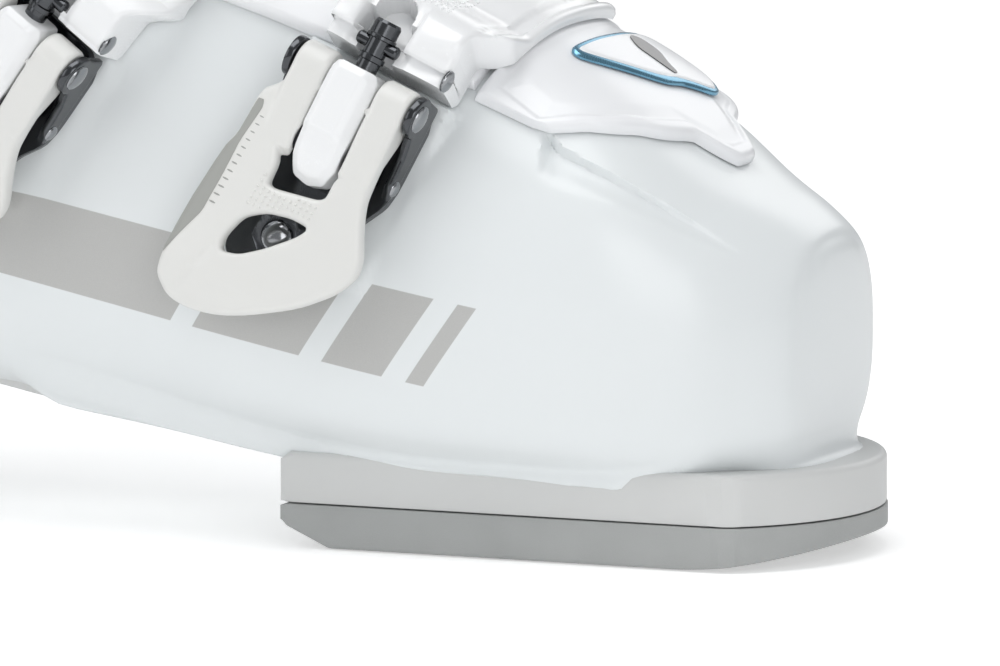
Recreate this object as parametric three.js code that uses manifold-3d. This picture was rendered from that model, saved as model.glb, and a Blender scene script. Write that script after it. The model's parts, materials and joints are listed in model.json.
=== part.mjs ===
// A right-foot alpine ski boot with four micro-adjust buckles, as an assembly of separate pieces.
// Millimetres. +X points to the toe, +Y to the medial side, +Z up, and Z = 0 is the ground.
// The origin lies under the ball of the foot, at the middle of the toe pad's ground face.
import * as THREE from "three";
import { mergeVertices } from "three/addons/utils/BufferGeometryUtils.js";
import Module from "manifold-3d";

const wasm = await Module();
wasm.setup();

// ---------- driving dimensions ----------
const gap = 0.3; // air between pieces that touch on the real boot
const overall = { length: 295, width: 99, height: 320 }; // sole, widest point of the last, shaft
const drawnAt = { length: 295, width: 99, height: 320 }; // the sizes that the form below is drawn at
const sole = {
  toeTip: 56.5,
  toePadLength: 113,
  heelPadLength: 70,
  halfWidth: 34.5,
  toeRadius: 41.5,
  heelRadius: 36,
  toePadThickness: 8,
  heelPadThickness: 10,
  toeLugTop: 19,
  heelLugTop: 30,
  rocker: 4.2,
  rockerLength: 27,
  chamfer: 4.5,
};
const wall = { shell: 4.5, cuff: 4.5, flap: 2.6, cuffFlap: 3, liner: 8 };
const cuffClearance = 4.4; // lets the cuff flex over the shell
const hinge = { x: -156, z: 106, radius: 6, headRadius: 10.5, headThickness: 3, washer: 1.2 };
const board = { toeHeight: 26, heelHeight: 36, toeX: 40, heelX: -215 };
const buckle = {
  standoff: 10.5, // pivot axis above the surface the buckle is riveted to
  bailOffset: 13.6, // lever pivot to bail pivot
  armInner: 5.6,
  armOuter: 12.8,
  armRadius: 4.4,
  earThickness: 1.8,
  pinRadius: 1.9,
  pinEnd: 7.5,
  leverThickness: 3.8,
  tipDrop: 4.5,
  barrelWidth: 10,
  barrelFront: 17.4,
  barrelLow: -5.2,
  barrelHigh: 4.6,
  rodRadius: 2.3,
  hookReach: 10.6, // T-bar ahead of the lever pivot
  crossBarRadius: 1.7,
  crossBarLength: 11.4,
  plateThickness: 1.8,
  padHeight: 1.2,
  hookTravel: 4,
};
// Handle outline in the buckle's own frame: towards the toe, and towards the catch.
const handle = [
  [-12.8, -8],
  [-16, -9],
  [-17.6, -19],
  [-19.4, -40],
  [-19.2, -47],
  [-16, -51.5],
  [-10, -53],
  [-4, -51.8],
  [4, -46.6],
  [11, -40.8],
  [15.6, -35],
  [17, -30],
  [14.6, -23],
  [12.8, -15],
  [12.8, -8],
];
const screw = { radius: 2.6, headRadius: 4.4, headHeight: 2.6, sunk: 3, bite: 4 };
const spineBolt = { radius: 6.5, thickness: 2.4, seat: 1.4 };
const strap = { thickness: 2, air: 0.6 };
const badge = { thickness: 1.3, air: 0.2 };
const ladder = { halfBack: 11, halfFront: 16, thickness: 2.6, catchHeight: 4.6, start: 4.6 };

// ---------- the boot's outer form ----------
// Sections run from the toe, under the foot and round the heel, to the top of the shaft.
// Each lies in the plane through its top (instep or shin) and base (sole, heel or calf) points.
// lat and med are its half-widths, wide is where it is widest, from base to top,
// and squareTop and squareBase are the powers of its two superellipse halves.
const fields = ["topX", "topZ", "baseX", "baseZ", "lat", "med", "wide", "squareTop", "squareBase"];
const sections = [
  [49.2, 54.6, 49.2, 53.2, 0.6, 0.6, 0.5, 2.0, 2.0],
  [48.7, 60.0, 48.7, 42.0, 10.0, 12.0, 0.5, 2.4, 2.4],
  [47.7, 62.4, 47.7, 30.0, 17.5, 20.0, 0.48, 2.5, 2.5],
  [46.0, 65.0, 46.0, 20.0, 24.0, 26.5, 0.47, 2.6, 2.7],
  [39.6, 69.2, 39.6, 15.0, 31.0, 33.0, 0.47, 2.8, 2.9],
  [30.0, 74.8, 30.0, 13.0, 38.0, 38.5, 0.46, 3.0, 3.0],
  [15.0, 86.6, 15.0, 13.0, 44.0, 43.0, 0.43, 3.0, 3.1],
  [-5.0, 99.6, -5.0, 14.5, 47.5, 46.0, 0.36, 2.45, 3.1],
  [-32.0, 117.0, -32.0, 16.0, 49.5, 48.5, 0.3, 2.1, 3.0],
  [-60.0, 137.0, -60.0, 19.0, 48.5, 47.0, 0.29, 2.05, 2.8],
  [-80.0, 153.5, -92.0, 23.0, 46.5, 45.0, 0.33, 2.2, 2.6],
  [-92.0, 167.0, -130.0, 25.5, 44.5, 43.5, 0.4, 2.2, 2.5],
  [-99.0, 177.0, -170.0, 24.5, 43.5, 42.5, 0.45, 2.2, 2.4],
  [-103.0, 184.0, -205.0, 24.0, 43.0, 42.0, 0.48, 2.2, 2.4],
  [-105.0, 189.0, -226.0, 36.0, 43.0, 42.0, 0.5, 2.2, 2.3],
  [-106.5, 194.0, -232.0, 66.0, 44.5, 43.5, 0.5, 2.3, 2.2],
  [-107.5, 200.0, -230.0, 100.0, 46.5, 45.0, 0.5, 2.3, 2.2],
  [-107.5, 208.0, -225.0, 134.0, 47.5, 46.0, 0.5, 2.3, 2.3],
  [-106.0, 219.0, -219.0, 163.0, 48.5, 47.0, 0.5, 2.3, 2.3],
  [-102.0, 235.0, -213.0, 192.0, 50.5, 49.0, 0.5, 2.3, 2.4],
  [-95.0, 258.0, -206.0, 224.0, 53.0, 51.5, 0.5, 2.3, 2.4],
  [-88.0, 282.0, -199.0, 258.0, 55.0, 53.5, 0.5, 2.3, 2.4],
  [-84.0, 300.0, -194.0, 285.0, 56.0, 54.5, 0.5, 2.3, 2.4],
  [-80.0, 320.0, -190.0, 309.0, 56.5, 55.0, 0.5, 2.3, 2.4],
];
const at = { shellTop: 18.4, cuffTop: 22 };
const fit = {
  x: overall.length / drawnAt.length,
  y: overall.width / drawnAt.width,
  z: overall.height / drawnAt.height,
};
// A place drawn on the form, moved to where it is at the overall sizes.
const fitX = (x) => sole.toeTip - (sole.toeTip - x) * fit.x;
const fitZ = (z) => z * fit.z;
for (const row of sections) {
  row[0] = fitX(row[0]);
  row[1] = fitZ(row[1]);
  row[2] = fitX(row[2]);
  row[3] = fitZ(row[3]);
  row[4] *= fit.y;
  row[5] *= fit.y;
}

// Catmull-Rom value of every field at a place between the sections.
function sectionAt(s) {
  const last = sections.length - 1;
  const i = Math.min(Math.max(Math.floor(s), 0), last - 1);
  const f = s - i;
  const row = (k) => sections[Math.min(Math.max(k, 0), last)];
  const found = {};
  fields.forEach((name, c) => {
    const [a, b, d, e] = [row(i - 1)[c], row(i)[c], row(i + 1)[c], row(i + 2)[c]];
    const slopeIn = (d - a) / 2;
    const slopeOut = (e - b) / 2;
    found[name] =
      (2 * f ** 3 - 3 * f ** 2 + 1) * b +
      (f ** 3 - 2 * f ** 2 + f) * slopeIn +
      (3 * f ** 2 - 2 * f ** 3) * d +
      (f ** 3 - f ** 2) * slopeOut;
  });
  return found;
}

// The form's point at section s and turn t: 0 is the base, 0.25 lateral, 0.5 the top, 0.75 medial.
// inset draws the whole form in by that many millimetres.
function formPoint(s, t, inset = 0) {
  const q = sectionAt(s);
  const top = new THREE.Vector3(q.topX, 0, q.topZ);
  const base = new THREE.Vector3(q.baseX, 0, q.baseZ);
  const along = top.clone().sub(base);
  const length = along.length();
  const shrink = Math.min(inset, length * 0.45) / Math.max(length, 1e-6);
  const rise = -Math.cos(2 * Math.PI * t);
  const side = Math.sin(2 * Math.PI * t);
  const power = 2 / (rise >= 0 ? q.squareTop : q.squareBase);
  const reach = Math.sign(rise) * Math.abs(rise) ** power;
  const spread = Math.abs(side) ** power;
  const place = q.wide + reach * (rise >= 0 ? 1 - q.wide - shrink : q.wide - shrink);
  const half = side >= 0 ? q.lat : q.med;
  const y = -Math.sign(side) * Math.max(half - inset, half * 0.1) * spread;
  const point = base.addScaledVector(along, place);
  const nose = THREE.MathUtils.smoothstep(q.baseX, 15, sections[0][0]);
  return new THREE.Vector3(point.x - inset * nose, y, point.z);
}

function formNormal(s, t) {
  const step = 0.02;
  const middle = Math.min(Math.max(s, 0.06), sections.length - 1 - step);
  const from = formPoint(middle - step, t);
  const to = formPoint(middle + step, t);
  const left = formPoint(middle, t - step / 4);
  const right = formPoint(middle, t + step / 4);
  return right.sub(left).cross(to.sub(from)).normalize();
}

// The form raised by offset along its own normal.
function skinPoint(s, t, offset = 0, inset = 0) {
  if (offset === 0) return formPoint(s, t, inset);
  return formPoint(s, t, inset).addScaledVector(formNormal(s, t), offset);
}

// ---------- solids from points ----------
function closedGeometry(points, triangles) {
  const geometry = new THREE.BufferGeometry();
  geometry.setAttribute("position", new THREE.Float32BufferAttribute(points.flatMap((p) => p.toArray()), 3));
  geometry.setIndex(triangles.flat());
  return geometry;
}

function toSolid(geometry) {
  const bare = geometry.clone();
  for (const name of Object.keys(bare.attributes)) {
    if (name !== "position") bare.deleteAttribute(name);
  }
  const merged = mergeVertices(bare, 1e-4);
  const mesh = new wasm.Mesh({
    numProp: 3,
    vertProperties: merged.attributes.position.array,
    triVerts: new Uint32Array(merged.index.array),
  });
  const solid = new wasm.Manifold(mesh);
  if (solid.volume() >= 0) return solid;
  const turned = merged.index.array.slice();
  for (let i = 0; i < turned.length; i += 3) {
    [turned[i + 1], turned[i + 2]] = [turned[i + 2], turned[i + 1]];
  }
  return new wasm.Manifold(
    new wasm.Mesh({
      numProp: 3,
      vertProperties: merged.attributes.position.array,
      triVerts: new Uint32Array(turned),
    }),
  );
}

function toGeometry(solid) {
  const { numProp, numVert, vertProperties, triVerts } = solid.getMesh();
  const positions = new Float32Array(numVert * 3);
  for (let i = 0; i < numVert; i++) {
    positions.set(vertProperties.subarray(i * numProp, i * numProp + 3), i * 3);
  }
  const geometry = new THREE.BufferGeometry();
  geometry.setAttribute("position", new THREE.BufferAttribute(positions, 3));
  geometry.setIndex(new THREE.BufferAttribute(triVerts, 1));
  geometry.computeVertexNormals();
  return geometry;
}

// A closed tube of the form between two sections, raised by offset or drawn in by inset.
function tube({ from = 0, to, rows, columns, offset = 0, inset = 0 }) {
  const points = [];
  const triangles = [];
  for (let i = 0; i <= rows; i++) {
    const s = from + ((to - from) * i) / rows;
    for (let j = 0; j < columns; j++) points.push(skinPoint(s, j / columns, offset, inset));
  }
  for (let i = 0; i < rows; i++) {
    for (let j = 0; j < columns; j++) {
      const k = (j + 1) % columns;
      const [a, b] = [i * columns + j, i * columns + k];
      const [c, d] = [(i + 1) * columns + k, (i + 1) * columns + j];
      triangles.push([a, b, c], [a, c, d]);
    }
  }
  for (const i of [0, rows]) {
    const ring = points.slice(i * columns, (i + 1) * columns);
    const centre = ring.reduce((sum, p) => sum.add(p), new THREE.Vector3()).divideScalar(columns);
    points.push(centre);
    const c = points.length - 1;
    for (let j = 0; j < columns; j++) {
      const [a, b] = [i * columns + j, i * columns + ((j + 1) % columns)];
      triangles.push(i === 0 ? [c, b, a] : [c, a, b]);
    }
  }
  return toSolid(closedGeometry(points, triangles));
}

// A closed plate between two grids of points, each grid[row][column].
function plate(outer, inner) {
  const rows = outer.length;
  const columns = outer[0].length;
  const points = [...outer.flat(), ...inner.flat()];
  const half = rows * columns;
  const triangles = [];
  const quad = (a, b, c, d) => triangles.push([a, b, c], [a, c, d]);
  for (let i = 0; i < rows - 1; i++) {
    for (let j = 0; j < columns - 1; j++) {
      const [a, b] = [i * columns + j, i * columns + j + 1];
      const [c, d] = [b + columns, a + columns];
      quad(a, b, c, d);
      quad(half + a, half + d, half + c, half + b);
    }
  }
  for (let i = 0; i < rows - 1; i++) {
    const [a, d] = [i * columns, (i + 1) * columns];
    const [b, c] = [a + columns - 1, d + columns - 1];
    quad(a, d, half + d, half + a);
    quad(c, b, half + b, half + c);
  }
  for (let j = 0; j < columns - 1; j++) {
    const [a, b] = [j, j + 1];
    const [d, c] = [(rows - 1) * columns + j, (rows - 1) * columns + j + 1];
    quad(b, a, half + a, half + b);
    quad(d, c, half + c, half + d);
  }
  return toSolid(closedGeometry(points, triangles));
}

// A piece of the raised form between two edges, as a plate.
function patch({ rows, columns, from, to, edgeLat, edgeMed, inner, outer }) {
  const grid = (offset) =>
    Array.from({ length: rows + 1 }, (_, i) =>
      Array.from({ length: columns + 1 }, (_, j) => {
        const w = j / columns;
        const s = from(w) + ((to(w) - from(w)) * i) / rows;
        const t = edgeLat(s) + (edgeMed(s) - edgeLat(s)) * w;
        return skinPoint(s, t, offset);
      }),
    );
  return plate(grid(outer), grid(inner));
}

function boxSolid(sizeX, sizeY, sizeZ, x, y, z, tilt = 0) {
  const geometry = new THREE.BoxGeometry(sizeX, sizeY, sizeZ);
  geometry.rotateY(tilt);
  return toSolid(geometry.translate(x, y, z));
}

// An outline in X and Z, carried right through the boot along Y.
function sideSolid(outline) {
  const shape = new THREE.Shape(outline.map(([x, z]) => new THREE.Vector2(x, z)));
  const geometry = new THREE.ExtrudeGeometry(shape, { depth: 240, bevelEnabled: false });
  return toSolid(geometry.rotateX(Math.PI / 2).translate(0, 120, 0));
}

// The same for an outline drawn on the form.
const sideCut = (outline) => sideSolid(outline.map(([x, z]) => [fitX(x), fitZ(z)]));

function rodSolid(radius, length, sides, direction, centre) {
  const geometry = new THREE.CylinderGeometry(radius, radius, length, sides);
  const turn = new THREE.Quaternion().setFromUnitVectors(new THREE.Vector3(0, 1, 0), direction);
  return toSolid(geometry.applyQuaternion(turn).translate(centre.x, centre.y, centre.z));
}

// ---------- where things are on the form ----------
// A mesh of the raised form, to be probed with rays.
function probeSkin(offset) {
  const solid = tube({ from: 0, to: 23, rows: 92, columns: 60, offset });
  return new THREE.Mesh(toGeometry(solid), new THREE.MeshBasicMaterial({ side: THREE.DoubleSide }));
}

function probe(skin, origin, direction) {
  const hits = new THREE.Raycaster(origin, direction.clone().normalize(), 0, 400).intersectObject(skin);
  return hits[hits.length - 1].point;
}

// ---------- materials ----------
const finish = (color, roughness, metalness = 0) =>
  new THREE.MeshStandardMaterial({ color, roughness, metalness });
const materials = {
  shell: finish(0xe6eaea, 0.35),
  flap: finish(0xeceef0, 0.35),
  pearl: finish(0xeef0ef, 0.3, 0.15),
  chrome: finish(0x9a9da0, 0.2, 1),
  pad: finish(0x9c9f9e, 0.7),
  liner: finish(0xd9dadc, 0.85),
  lining: finish(0x8c8f94, 0.9),
  strap: finish(0xb9bcbe, 0.8),
  badge: finish(0x7fb6cf, 0.2, 0.7),
};

const boot = new THREE.Group();
const put = (name, solid, material, parent = boot) => {
  const mesh = new THREE.Mesh(toGeometry(solid), material);
  mesh.name = name;
  parent.add(mesh);
  return mesh;
};

// ---------- soles ----------
// Plan outline of a lug: straight sides with a round end of the given radius.
function lugOutline(tip, length, radius, inset, direction) {
  const half = sole.halfWidth - inset;
  const r = radius - inset;
  const end = tip - direction * inset;
  const centre = end - direction * r;
  const sweep = Math.asin(Math.min(half / r, 1));
  const points = [];
  const steps = 14;
  for (let i = 0; i <= steps; i++) {
    const a = -sweep + (2 * sweep * i) / steps;
    points.push(new THREE.Vector2(centre + direction * r * Math.cos(a), direction * r * Math.sin(a)));
  }
  const back = tip - direction * length;
  points.push(new THREE.Vector2(back, direction * half), new THREE.Vector2(back, -direction * half));
  return new THREE.Shape(points);
}

function lugSolid(tip, length, radius, from, to, direction, inset = 0) {
  const shape = lugOutline(tip, length, radius, inset, direction);
  const geometry = new THREE.ExtrudeGeometry(shape, { depth: to - from, bevelEnabled: false });
  return toSolid(geometry.translate(0, 0, from));
}
const heelTip = sole.toeTip - overall.length;
const toePadRear = sole.toeTip - sole.toePadLength;
const heelPadFront = heelTip + sole.heelPadLength;

const toeScrews = [
  [34, -17],
  [34, 17],
  [-40, -22],
  [-40, 22],
];
const heelScrews = [
  [heelTip + 22, -14],
  [heelTip + 22, 14],
  [heelTip + 54, 0],
];
const up = new THREE.Vector3(0, 0, 1);
function screwSolid([x, y], padThickness, grow = 0) {
  const headTop = padThickness - screw.sunk;
  const shankTop = padThickness + screw.bite + grow;
  const headMiddle = headTop - (screw.headHeight - grow) / 2;
  const shankMiddle = (shankTop + headTop - 1) / 2;
  const head = rodSolid(screw.headRadius + grow, screw.headHeight + grow, 14, up, { x, y, z: headMiddle });
  const shank = rodSolid(screw.radius + grow, shankTop - headTop + 1, 12, up, { x, y, z: shankMiddle });
  return head.add(shank);
}

function screwWell([x, y], padThickness) {
  const depth = padThickness - screw.sunk + 0.4;
  return rodSolid(screw.headRadius + gap, depth + 2, 14, up, { x, y, z: depth / 2 - 1 });
}

function padSolid(tip, length, radius, thickness, direction, screws) {
  let pad = lugSolid(tip, length, radius, 0, thickness - gap, direction);
  const flat = 20;
  const end = sideSolid([
    [tip - direction * sole.rockerLength, 0],
    [tip - direction * (sole.rockerLength * 0.45), sole.rocker * 0.28],
    [tip + direction * 2, sole.rocker],
    [tip + direction * 2, -flat],
    [tip - direction * sole.rockerLength, -flat],
  ]);
  const back = tip - direction * length;
  const chamfer = sideSolid([
    [back - direction * 2, sole.chamfer + 1],
    [back, sole.chamfer],
    [back + direction * sole.chamfer * 2.1, 0],
    [back + direction * sole.chamfer * 2.1, -flat],
    [back - direction * 2, -flat],
  ]);
  pad = pad.subtract(end).subtract(chamfer);
  for (const place of screws) {
    pad = pad.subtract(screwWell(place, thickness)).subtract(screwSolid(place, thickness, gap));
  }
  return pad;
}

const toePad = padSolid(sole.toeTip, sole.toePadLength, sole.toeRadius, sole.toePadThickness, 1, toeScrews);
const heelPad = padSolid(heelTip, sole.heelPadLength, sole.heelRadius, sole.heelPadThickness, -1, heelScrews);
put("toe_sole_pad", toePad, materials.pad);
put("heel_sole_pad", heelPad, materials.pad);
toeScrews.forEach((place, i) =>
  put(`toe_sole_screw_${i + 1}`, screwSolid(place, sole.toePadThickness), materials.chrome),
);
heelScrews.forEach((place, i) =>
  put(`heel_sole_screw_${i + 1}`, screwSolid(place, sole.heelPadThickness), materials.chrome),
);

// ---------- buckle seats ----------
// Each buckle has its own frame: v along the pivot pins, u towards the catch, n out of the boot.
const shellSkin = probeSkin(0);
const cuffOuter = cuffClearance + wall.cuff;
const cuffSkin = probeSkin(cuffOuter);
const flapSkin = probeSkin(wall.flap + gap);
const cuffFlapOuter = cuffOuter + gap + wall.cuffFlap;
const cuffFlapSkin = probeSkin(cuffFlapOuter);

// core is a point inside the boot; outward and towards are the rough directions of n and u.
// tilt and swing turn them for the shell's two; raise lifts the pivot; reach is the ladder's length.
const onShell = { base: shellSkin, top: flapSkin, on: "shell" };
const onCuff = { base: cuffSkin, top: cuffFlapSkin, on: "cuff" };
const seats = [
  { name: "forefoot", core: [-40, 0, 78.2], tilt: 24, swing: 20, raise: 0.8, reach: 62, ...onShell },
  { name: "instep", core: [-114, 0, 87], tilt: 38, swing: 24, raise: 0.2, reach: 58, ...onShell },
  { name: "lower_cuff", core: [-156, 0, 212], raise: 2.6, reach: 56, ...onCuff },
  { name: "upper_cuff", core: [-143, 0, 262], raise: 2.6, reach: 56, ...onCuff },
];
const cuffLean = -14; // how far the cuff's buckles lean down towards the toe, in degrees
const cuffBearing = 42; // how far they stand round to the front

function seatFrame(seat) {
  const core = new THREE.Vector3(fitX(seat.core[0]), 0, fitZ(seat.core[2]));
  let u;
  let n;
  if (seat.on === "shell") {
    const tilt = THREE.MathUtils.degToRad(seat.tilt);
    const swing = THREE.MathUtils.degToRad(seat.swing);
    const rise = new THREE.Vector3(Math.sin(tilt), 0, Math.cos(tilt));
    const out = new THREE.Vector3(0, -1, 0);
    n = out.clone().multiplyScalar(Math.cos(swing)).addScaledVector(rise, Math.sin(swing));
    u = rise.clone().multiplyScalar(Math.cos(swing)).addScaledVector(out, -Math.sin(swing));
  } else {
    const lean = THREE.MathUtils.degToRad(cuffLean);
    const bearing = THREE.MathUtils.degToRad(cuffBearing);
    const ahead = new THREE.Vector3(Math.cos(lean), 0, Math.sin(lean));
    const out = new THREE.Vector3(0, -1, 0);
    n = out.clone().multiplyScalar(Math.cos(bearing)).addScaledVector(ahead, Math.sin(bearing));
    u = ahead.clone().multiplyScalar(Math.cos(bearing)).addScaledVector(out, -Math.sin(bearing));
  }
  const v = u.clone().cross(n).normalize();
  const ask = (a, b) =>
    probe(seat.base, core.clone().addScaledVector(v, a).addScaledVector(u, b).addScaledVector(n, -5), n);
  const across = ask(12, 0).sub(ask(-12, 0)).normalize();
  if (seat.on === "cuff") across.addScaledVector(v, 2).normalize();
  const back = ask(0, -36);
  const foot = ask(0, 0);
  const lengthways = foot.clone().sub(back).normalize();
  const outward = lengthways.clone().cross(across).normalize();
  const upward = across.clone().cross(outward).normalize();
  if (outward.dot(n) < 0) outward.negate();
  if (upward.dot(u) < 0) upward.negate();
  const pivot = foot.clone().addScaledVector(outward, buckle.standoff + seat.raise);
  return { pivot, u: upward, n: outward, v: outward.clone().cross(upward).negate().normalize() };
}

function inFrame(frame, geometry) {
  const turn = new THREE.Matrix4().makeBasis(frame.v, frame.u, frame.n);
  return geometry.applyMatrix4(turn.setPosition(frame.pivot));
}

function place(frame, a, b, c) {
  return frame.pivot
    .clone()
    .addScaledVector(frame.v, a)
    .addScaledVector(frame.u, b)
    .addScaledVector(frame.n, c);
}

// Block in a buckle's frame, given by its limits along v, u and n.
function block(frame, v0, v1, u0, u1, n0, n1) {
  const geometry = new THREE.BoxGeometry(v1 - v0, u1 - u0, n1 - n0);
  return toSolid(inFrame(frame, geometry.translate((v0 + v1) / 2, (u0 + u1) / 2, (n0 + n1) / 2)));
}

// Round bar along the pivots' direction v.
function bar(frame, radius, v0, v1, u, n, sides = 10) {
  return rodSolid(radius, Math.abs(v1 - v0), sides, frame.v, place(frame, (v0 + v1) / 2, u, n));
}

// A profile drawn in u and n, extruded along v.
function profile(frame, outline, v0, v1) {
  const shape = new THREE.Shape(outline.map(([u, n]) => new THREE.Vector2(u, n)));
  const geometry = new THREE.ExtrudeGeometry(shape, { depth: v1 - v0, bevelEnabled: false });
  const turn = new THREE.Matrix4().makeBasis(frame.u, frame.n, frame.v);
  return toSolid(geometry.translate(0, 0, v0).applyMatrix4(turn.setPosition(frame.pivot)));
}

// An outline drawn in v and u, extruded along n.
function outlineSolid(frame, outline, n0, n1) {
  const shape = new THREE.Shape(outline.map(([v, u]) => new THREE.Vector2(v, u)));
  const geometry = new THREE.ExtrudeGeometry(shape, { depth: n1 - n0, bevelEnabled: false });
  return toSolid(inFrame(frame, geometry.translate(0, 0, n0)));
}
const arc = (u, n, radius, from, to, steps) =>
  Array.from({ length: steps + 1 }, (_, i) => {
    const a = THREE.MathUtils.degToRad(from + ((to - from) * i) / steps);
    return [u + radius * Math.cos(a), n + radius * Math.sin(a)];
  });

// ---------- buckle pieces ----------
const plateTop = -buckle.standoff + buckle.padHeight + gap + buckle.plateThickness;
const plateLow = -buckle.standoff + buckle.padHeight + gap;
const earInner = buckle.armOuter + gap;
const earOuter = earInner + buckle.earThickness;
const barrelHalf = buckle.barrelWidth / 2;
const rodHeight = (buckle.barrelLow + buckle.barrelHigh) / 2;
const padReach = { back: -34, front: 4.2 };

// The raised flat on the shell or cuff that the buckle is riveted to.
function seatPad(frame) {
  return block(frame, -earOuter - 1, earOuter + 1, padReach.back, padReach.front, -16, plateLow - gap);
}

// Room for the base plate and the lever where the form bulges under them.
function seatRoom(frame) {
  return block(frame, -earOuter - 1, earOuter + 1, -33, padReach.front + 0.1, plateLow - gap, 14);
}

function basePlate(frame) {
  let solid = block(frame, -earOuter, earOuter, -32, 3.6, plateLow, plateTop);
  const ear = [...arc(0, 0, 4, -20, 200, 8), [-9, plateLow + 0.4], [3.6, plateLow + 0.4]];
  for (const side of [-1, 1]) {
    const [a, b] = [side * earInner, side * earOuter].sort((x, y) => x - y);
    const [c, d] = [side * buckle.pinEnd, side * (earInner + 0.5)].sort((x, y) => x - y);
    solid = solid.add(profile(frame, ear, a, b)).add(bar(frame, buckle.pinRadius, c, d, 0, 0));
  }
  return solid;
}

function leverSolid(frame) {
  const half = buckle.leverThickness / 2;
  const drop = buckle.tipDrop;
  const side = [
    [-6, 1.9 + half],
    [-20, 1.4 + half],
    [-34, half],
    [-46, half - drop * 0.45],
    [-54, half - drop],
    [-54, -half - drop],
    [-46, -half - drop * 0.45],
    [-34, -half],
    [-20, 1.0 - half],
    [-6, 1.0 - half],
  ];
  let plateSolid = profile(frame, side, -21, 21).intersect(outlineSolid(frame, handle, -14, 10));
  const arm = [...arc(0, 0, buckle.armRadius, -90, 90, 6), [-14, 3.3], [-19, 3.1], [-19, -2.9], [-13.6, -4]];
  plateSolid = plateSolid.subtract(block(frame, -buckle.armOuter - 8, buckle.armOuter + 8, -14, 0, -12, 12));
  let solid = plateSolid;
  for (const sign of [-1, 1]) {
    const [a, b] = [sign * buckle.armInner, sign * buckle.armOuter].sort((x, y) => x - y);
    solid = solid.add(profile(frame, arm, a, b));
  }
  const slot = [
    [-buckle.armInner, -12],
    [-buckle.armInner, -20],
    [-3, -23.2],
    [3, -23.2],
    [buckle.armInner, -20],
    [buckle.armInner, -12],
  ];
  const lens = [
    [-13, -38.5],
    [-9.5, -34],
    [-3, -31.2],
    [4, -30],
    [9.5, -30.2],
    [5, -34.4],
    [-2, -38],
    [-9, -40],
  ];
  solid = solid.subtract(outlineSolid(frame, slot, -12, 12)).subtract(outlineSolid(frame, lens, -12, 12));
  const clear = gap / 2;
  for (const sign of [-1, 1]) {
    const [a, b] = [sign * (buckle.pinEnd - 0.4), sign * (buckle.armOuter + 1)].sort((x, y) => x - y);
    solid = solid.subtract(bar(frame, buckle.pinRadius + clear, a, b, 0, 0));
    const [c, d] = [sign * (buckle.armInner - 1), sign * (buckle.armOuter - 2.4)].sort((x, y) => x - y);
    solid = solid.subtract(bar(frame, buckle.pinRadius + clear, c, d, -buckle.bailOffset, 0));
  }
  return solid;
}

function barrelSolid(frame) {
  const back = -buckle.bailOffset;
  const outline = [
    ...arc(back, rodHeight, (buckle.barrelHigh - buckle.barrelLow) / 2, 90, 270, 8),
    [back + buckle.barrelFront, buckle.barrelLow + 0.8],
    [back + buckle.barrelFront, buckle.barrelHigh - 0.8],
    [back + buckle.barrelFront - 4, buckle.barrelHigh],
  ];
  let solid = profile(frame, outline, -barrelHalf, barrelHalf);
  solid = solid.add(bar(frame, buckle.pinRadius, -buckle.armOuter + 2.7, buckle.armOuter - 2.7, back, 0));
  return solid.subtract(rodAlong(frame, buckle.rodRadius + gap, back - 2, buckle.barrelFront));
}

function rodAlong(frame, radius, u0, u1) {
  return rodSolid(radius, u1 - u0, 12, frame.u, place(frame, 0, (u0 + u1) / 2, rodHeight));
}

function hookSolid(frame) {
  const reach = buckle.hookReach;
  const rod = rodAlong(frame, buckle.rodRadius, -buckle.bailOffset - 1, reach);
  const half = buckle.crossBarLength / 2;
  return rod.add(bar(frame, buckle.crossBarRadius, -half, half, reach, rodHeight));
}

// Path over the boot's front from a seat: stations with a point, a direction and a normal.
function wrapPath(seat, frame, from, to, steps) {
  const stations = [];
  const step = (to - from) / steps;
  let point = place(frame, 0, from, -4);
  let direction = frame.u.clone();
  let normal = frame.n.clone();
  for (let i = 0; i <= steps; i++) {
    const high = point.clone().addScaledVector(normal, 25);
    const hit = new THREE.Raycaster(high, normal.clone().negate(), 0, 60).intersectObject(seat.top)[0];
    const found = hit.face.normal.clone();
    if (found.dot(normal) < 0) found.negate();
    normal = normal.lerp(found, 0.6).addScaledVector(frame.v, -normal.dot(frame.v)).normalize();
    direction = normal.clone().cross(frame.v).normalize();
    if (direction.dot(frame.u) < 0 && i === 0) direction.negate();
    if (stations.length && direction.dot(stations[stations.length - 1].direction) < 0) direction.negate();
    stations.push({ point: hit.point.clone(), direction: direction.clone(), normal: normal.clone() });
    point = hit.point.clone().addScaledVector(direction, step);
  }
  return stations;
}

// A strip that follows the form under a wrap path, low and high above it.
function wrapStrip(seat, frame, stations, v0, v1, low, high, across = 3) {
  const grid = (offset) =>
    stations.map(({ point, normal }) =>
      Array.from({ length: across + 1 }, (_, j) => {
        const a = v0 + ((v1 - v0) * j) / across;
        const start = point.clone().addScaledVector(frame.v, a).addScaledVector(normal, 25);
        const hit = new THREE.Raycaster(start, normal.clone().negate(), 0, 60).intersectObject(seat.top)[0];
        return start.addScaledVector(normal, offset - (hit ? hit.distance : 25));
      }),
    );
  return plate(grid(high), grid(low));
}

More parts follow.
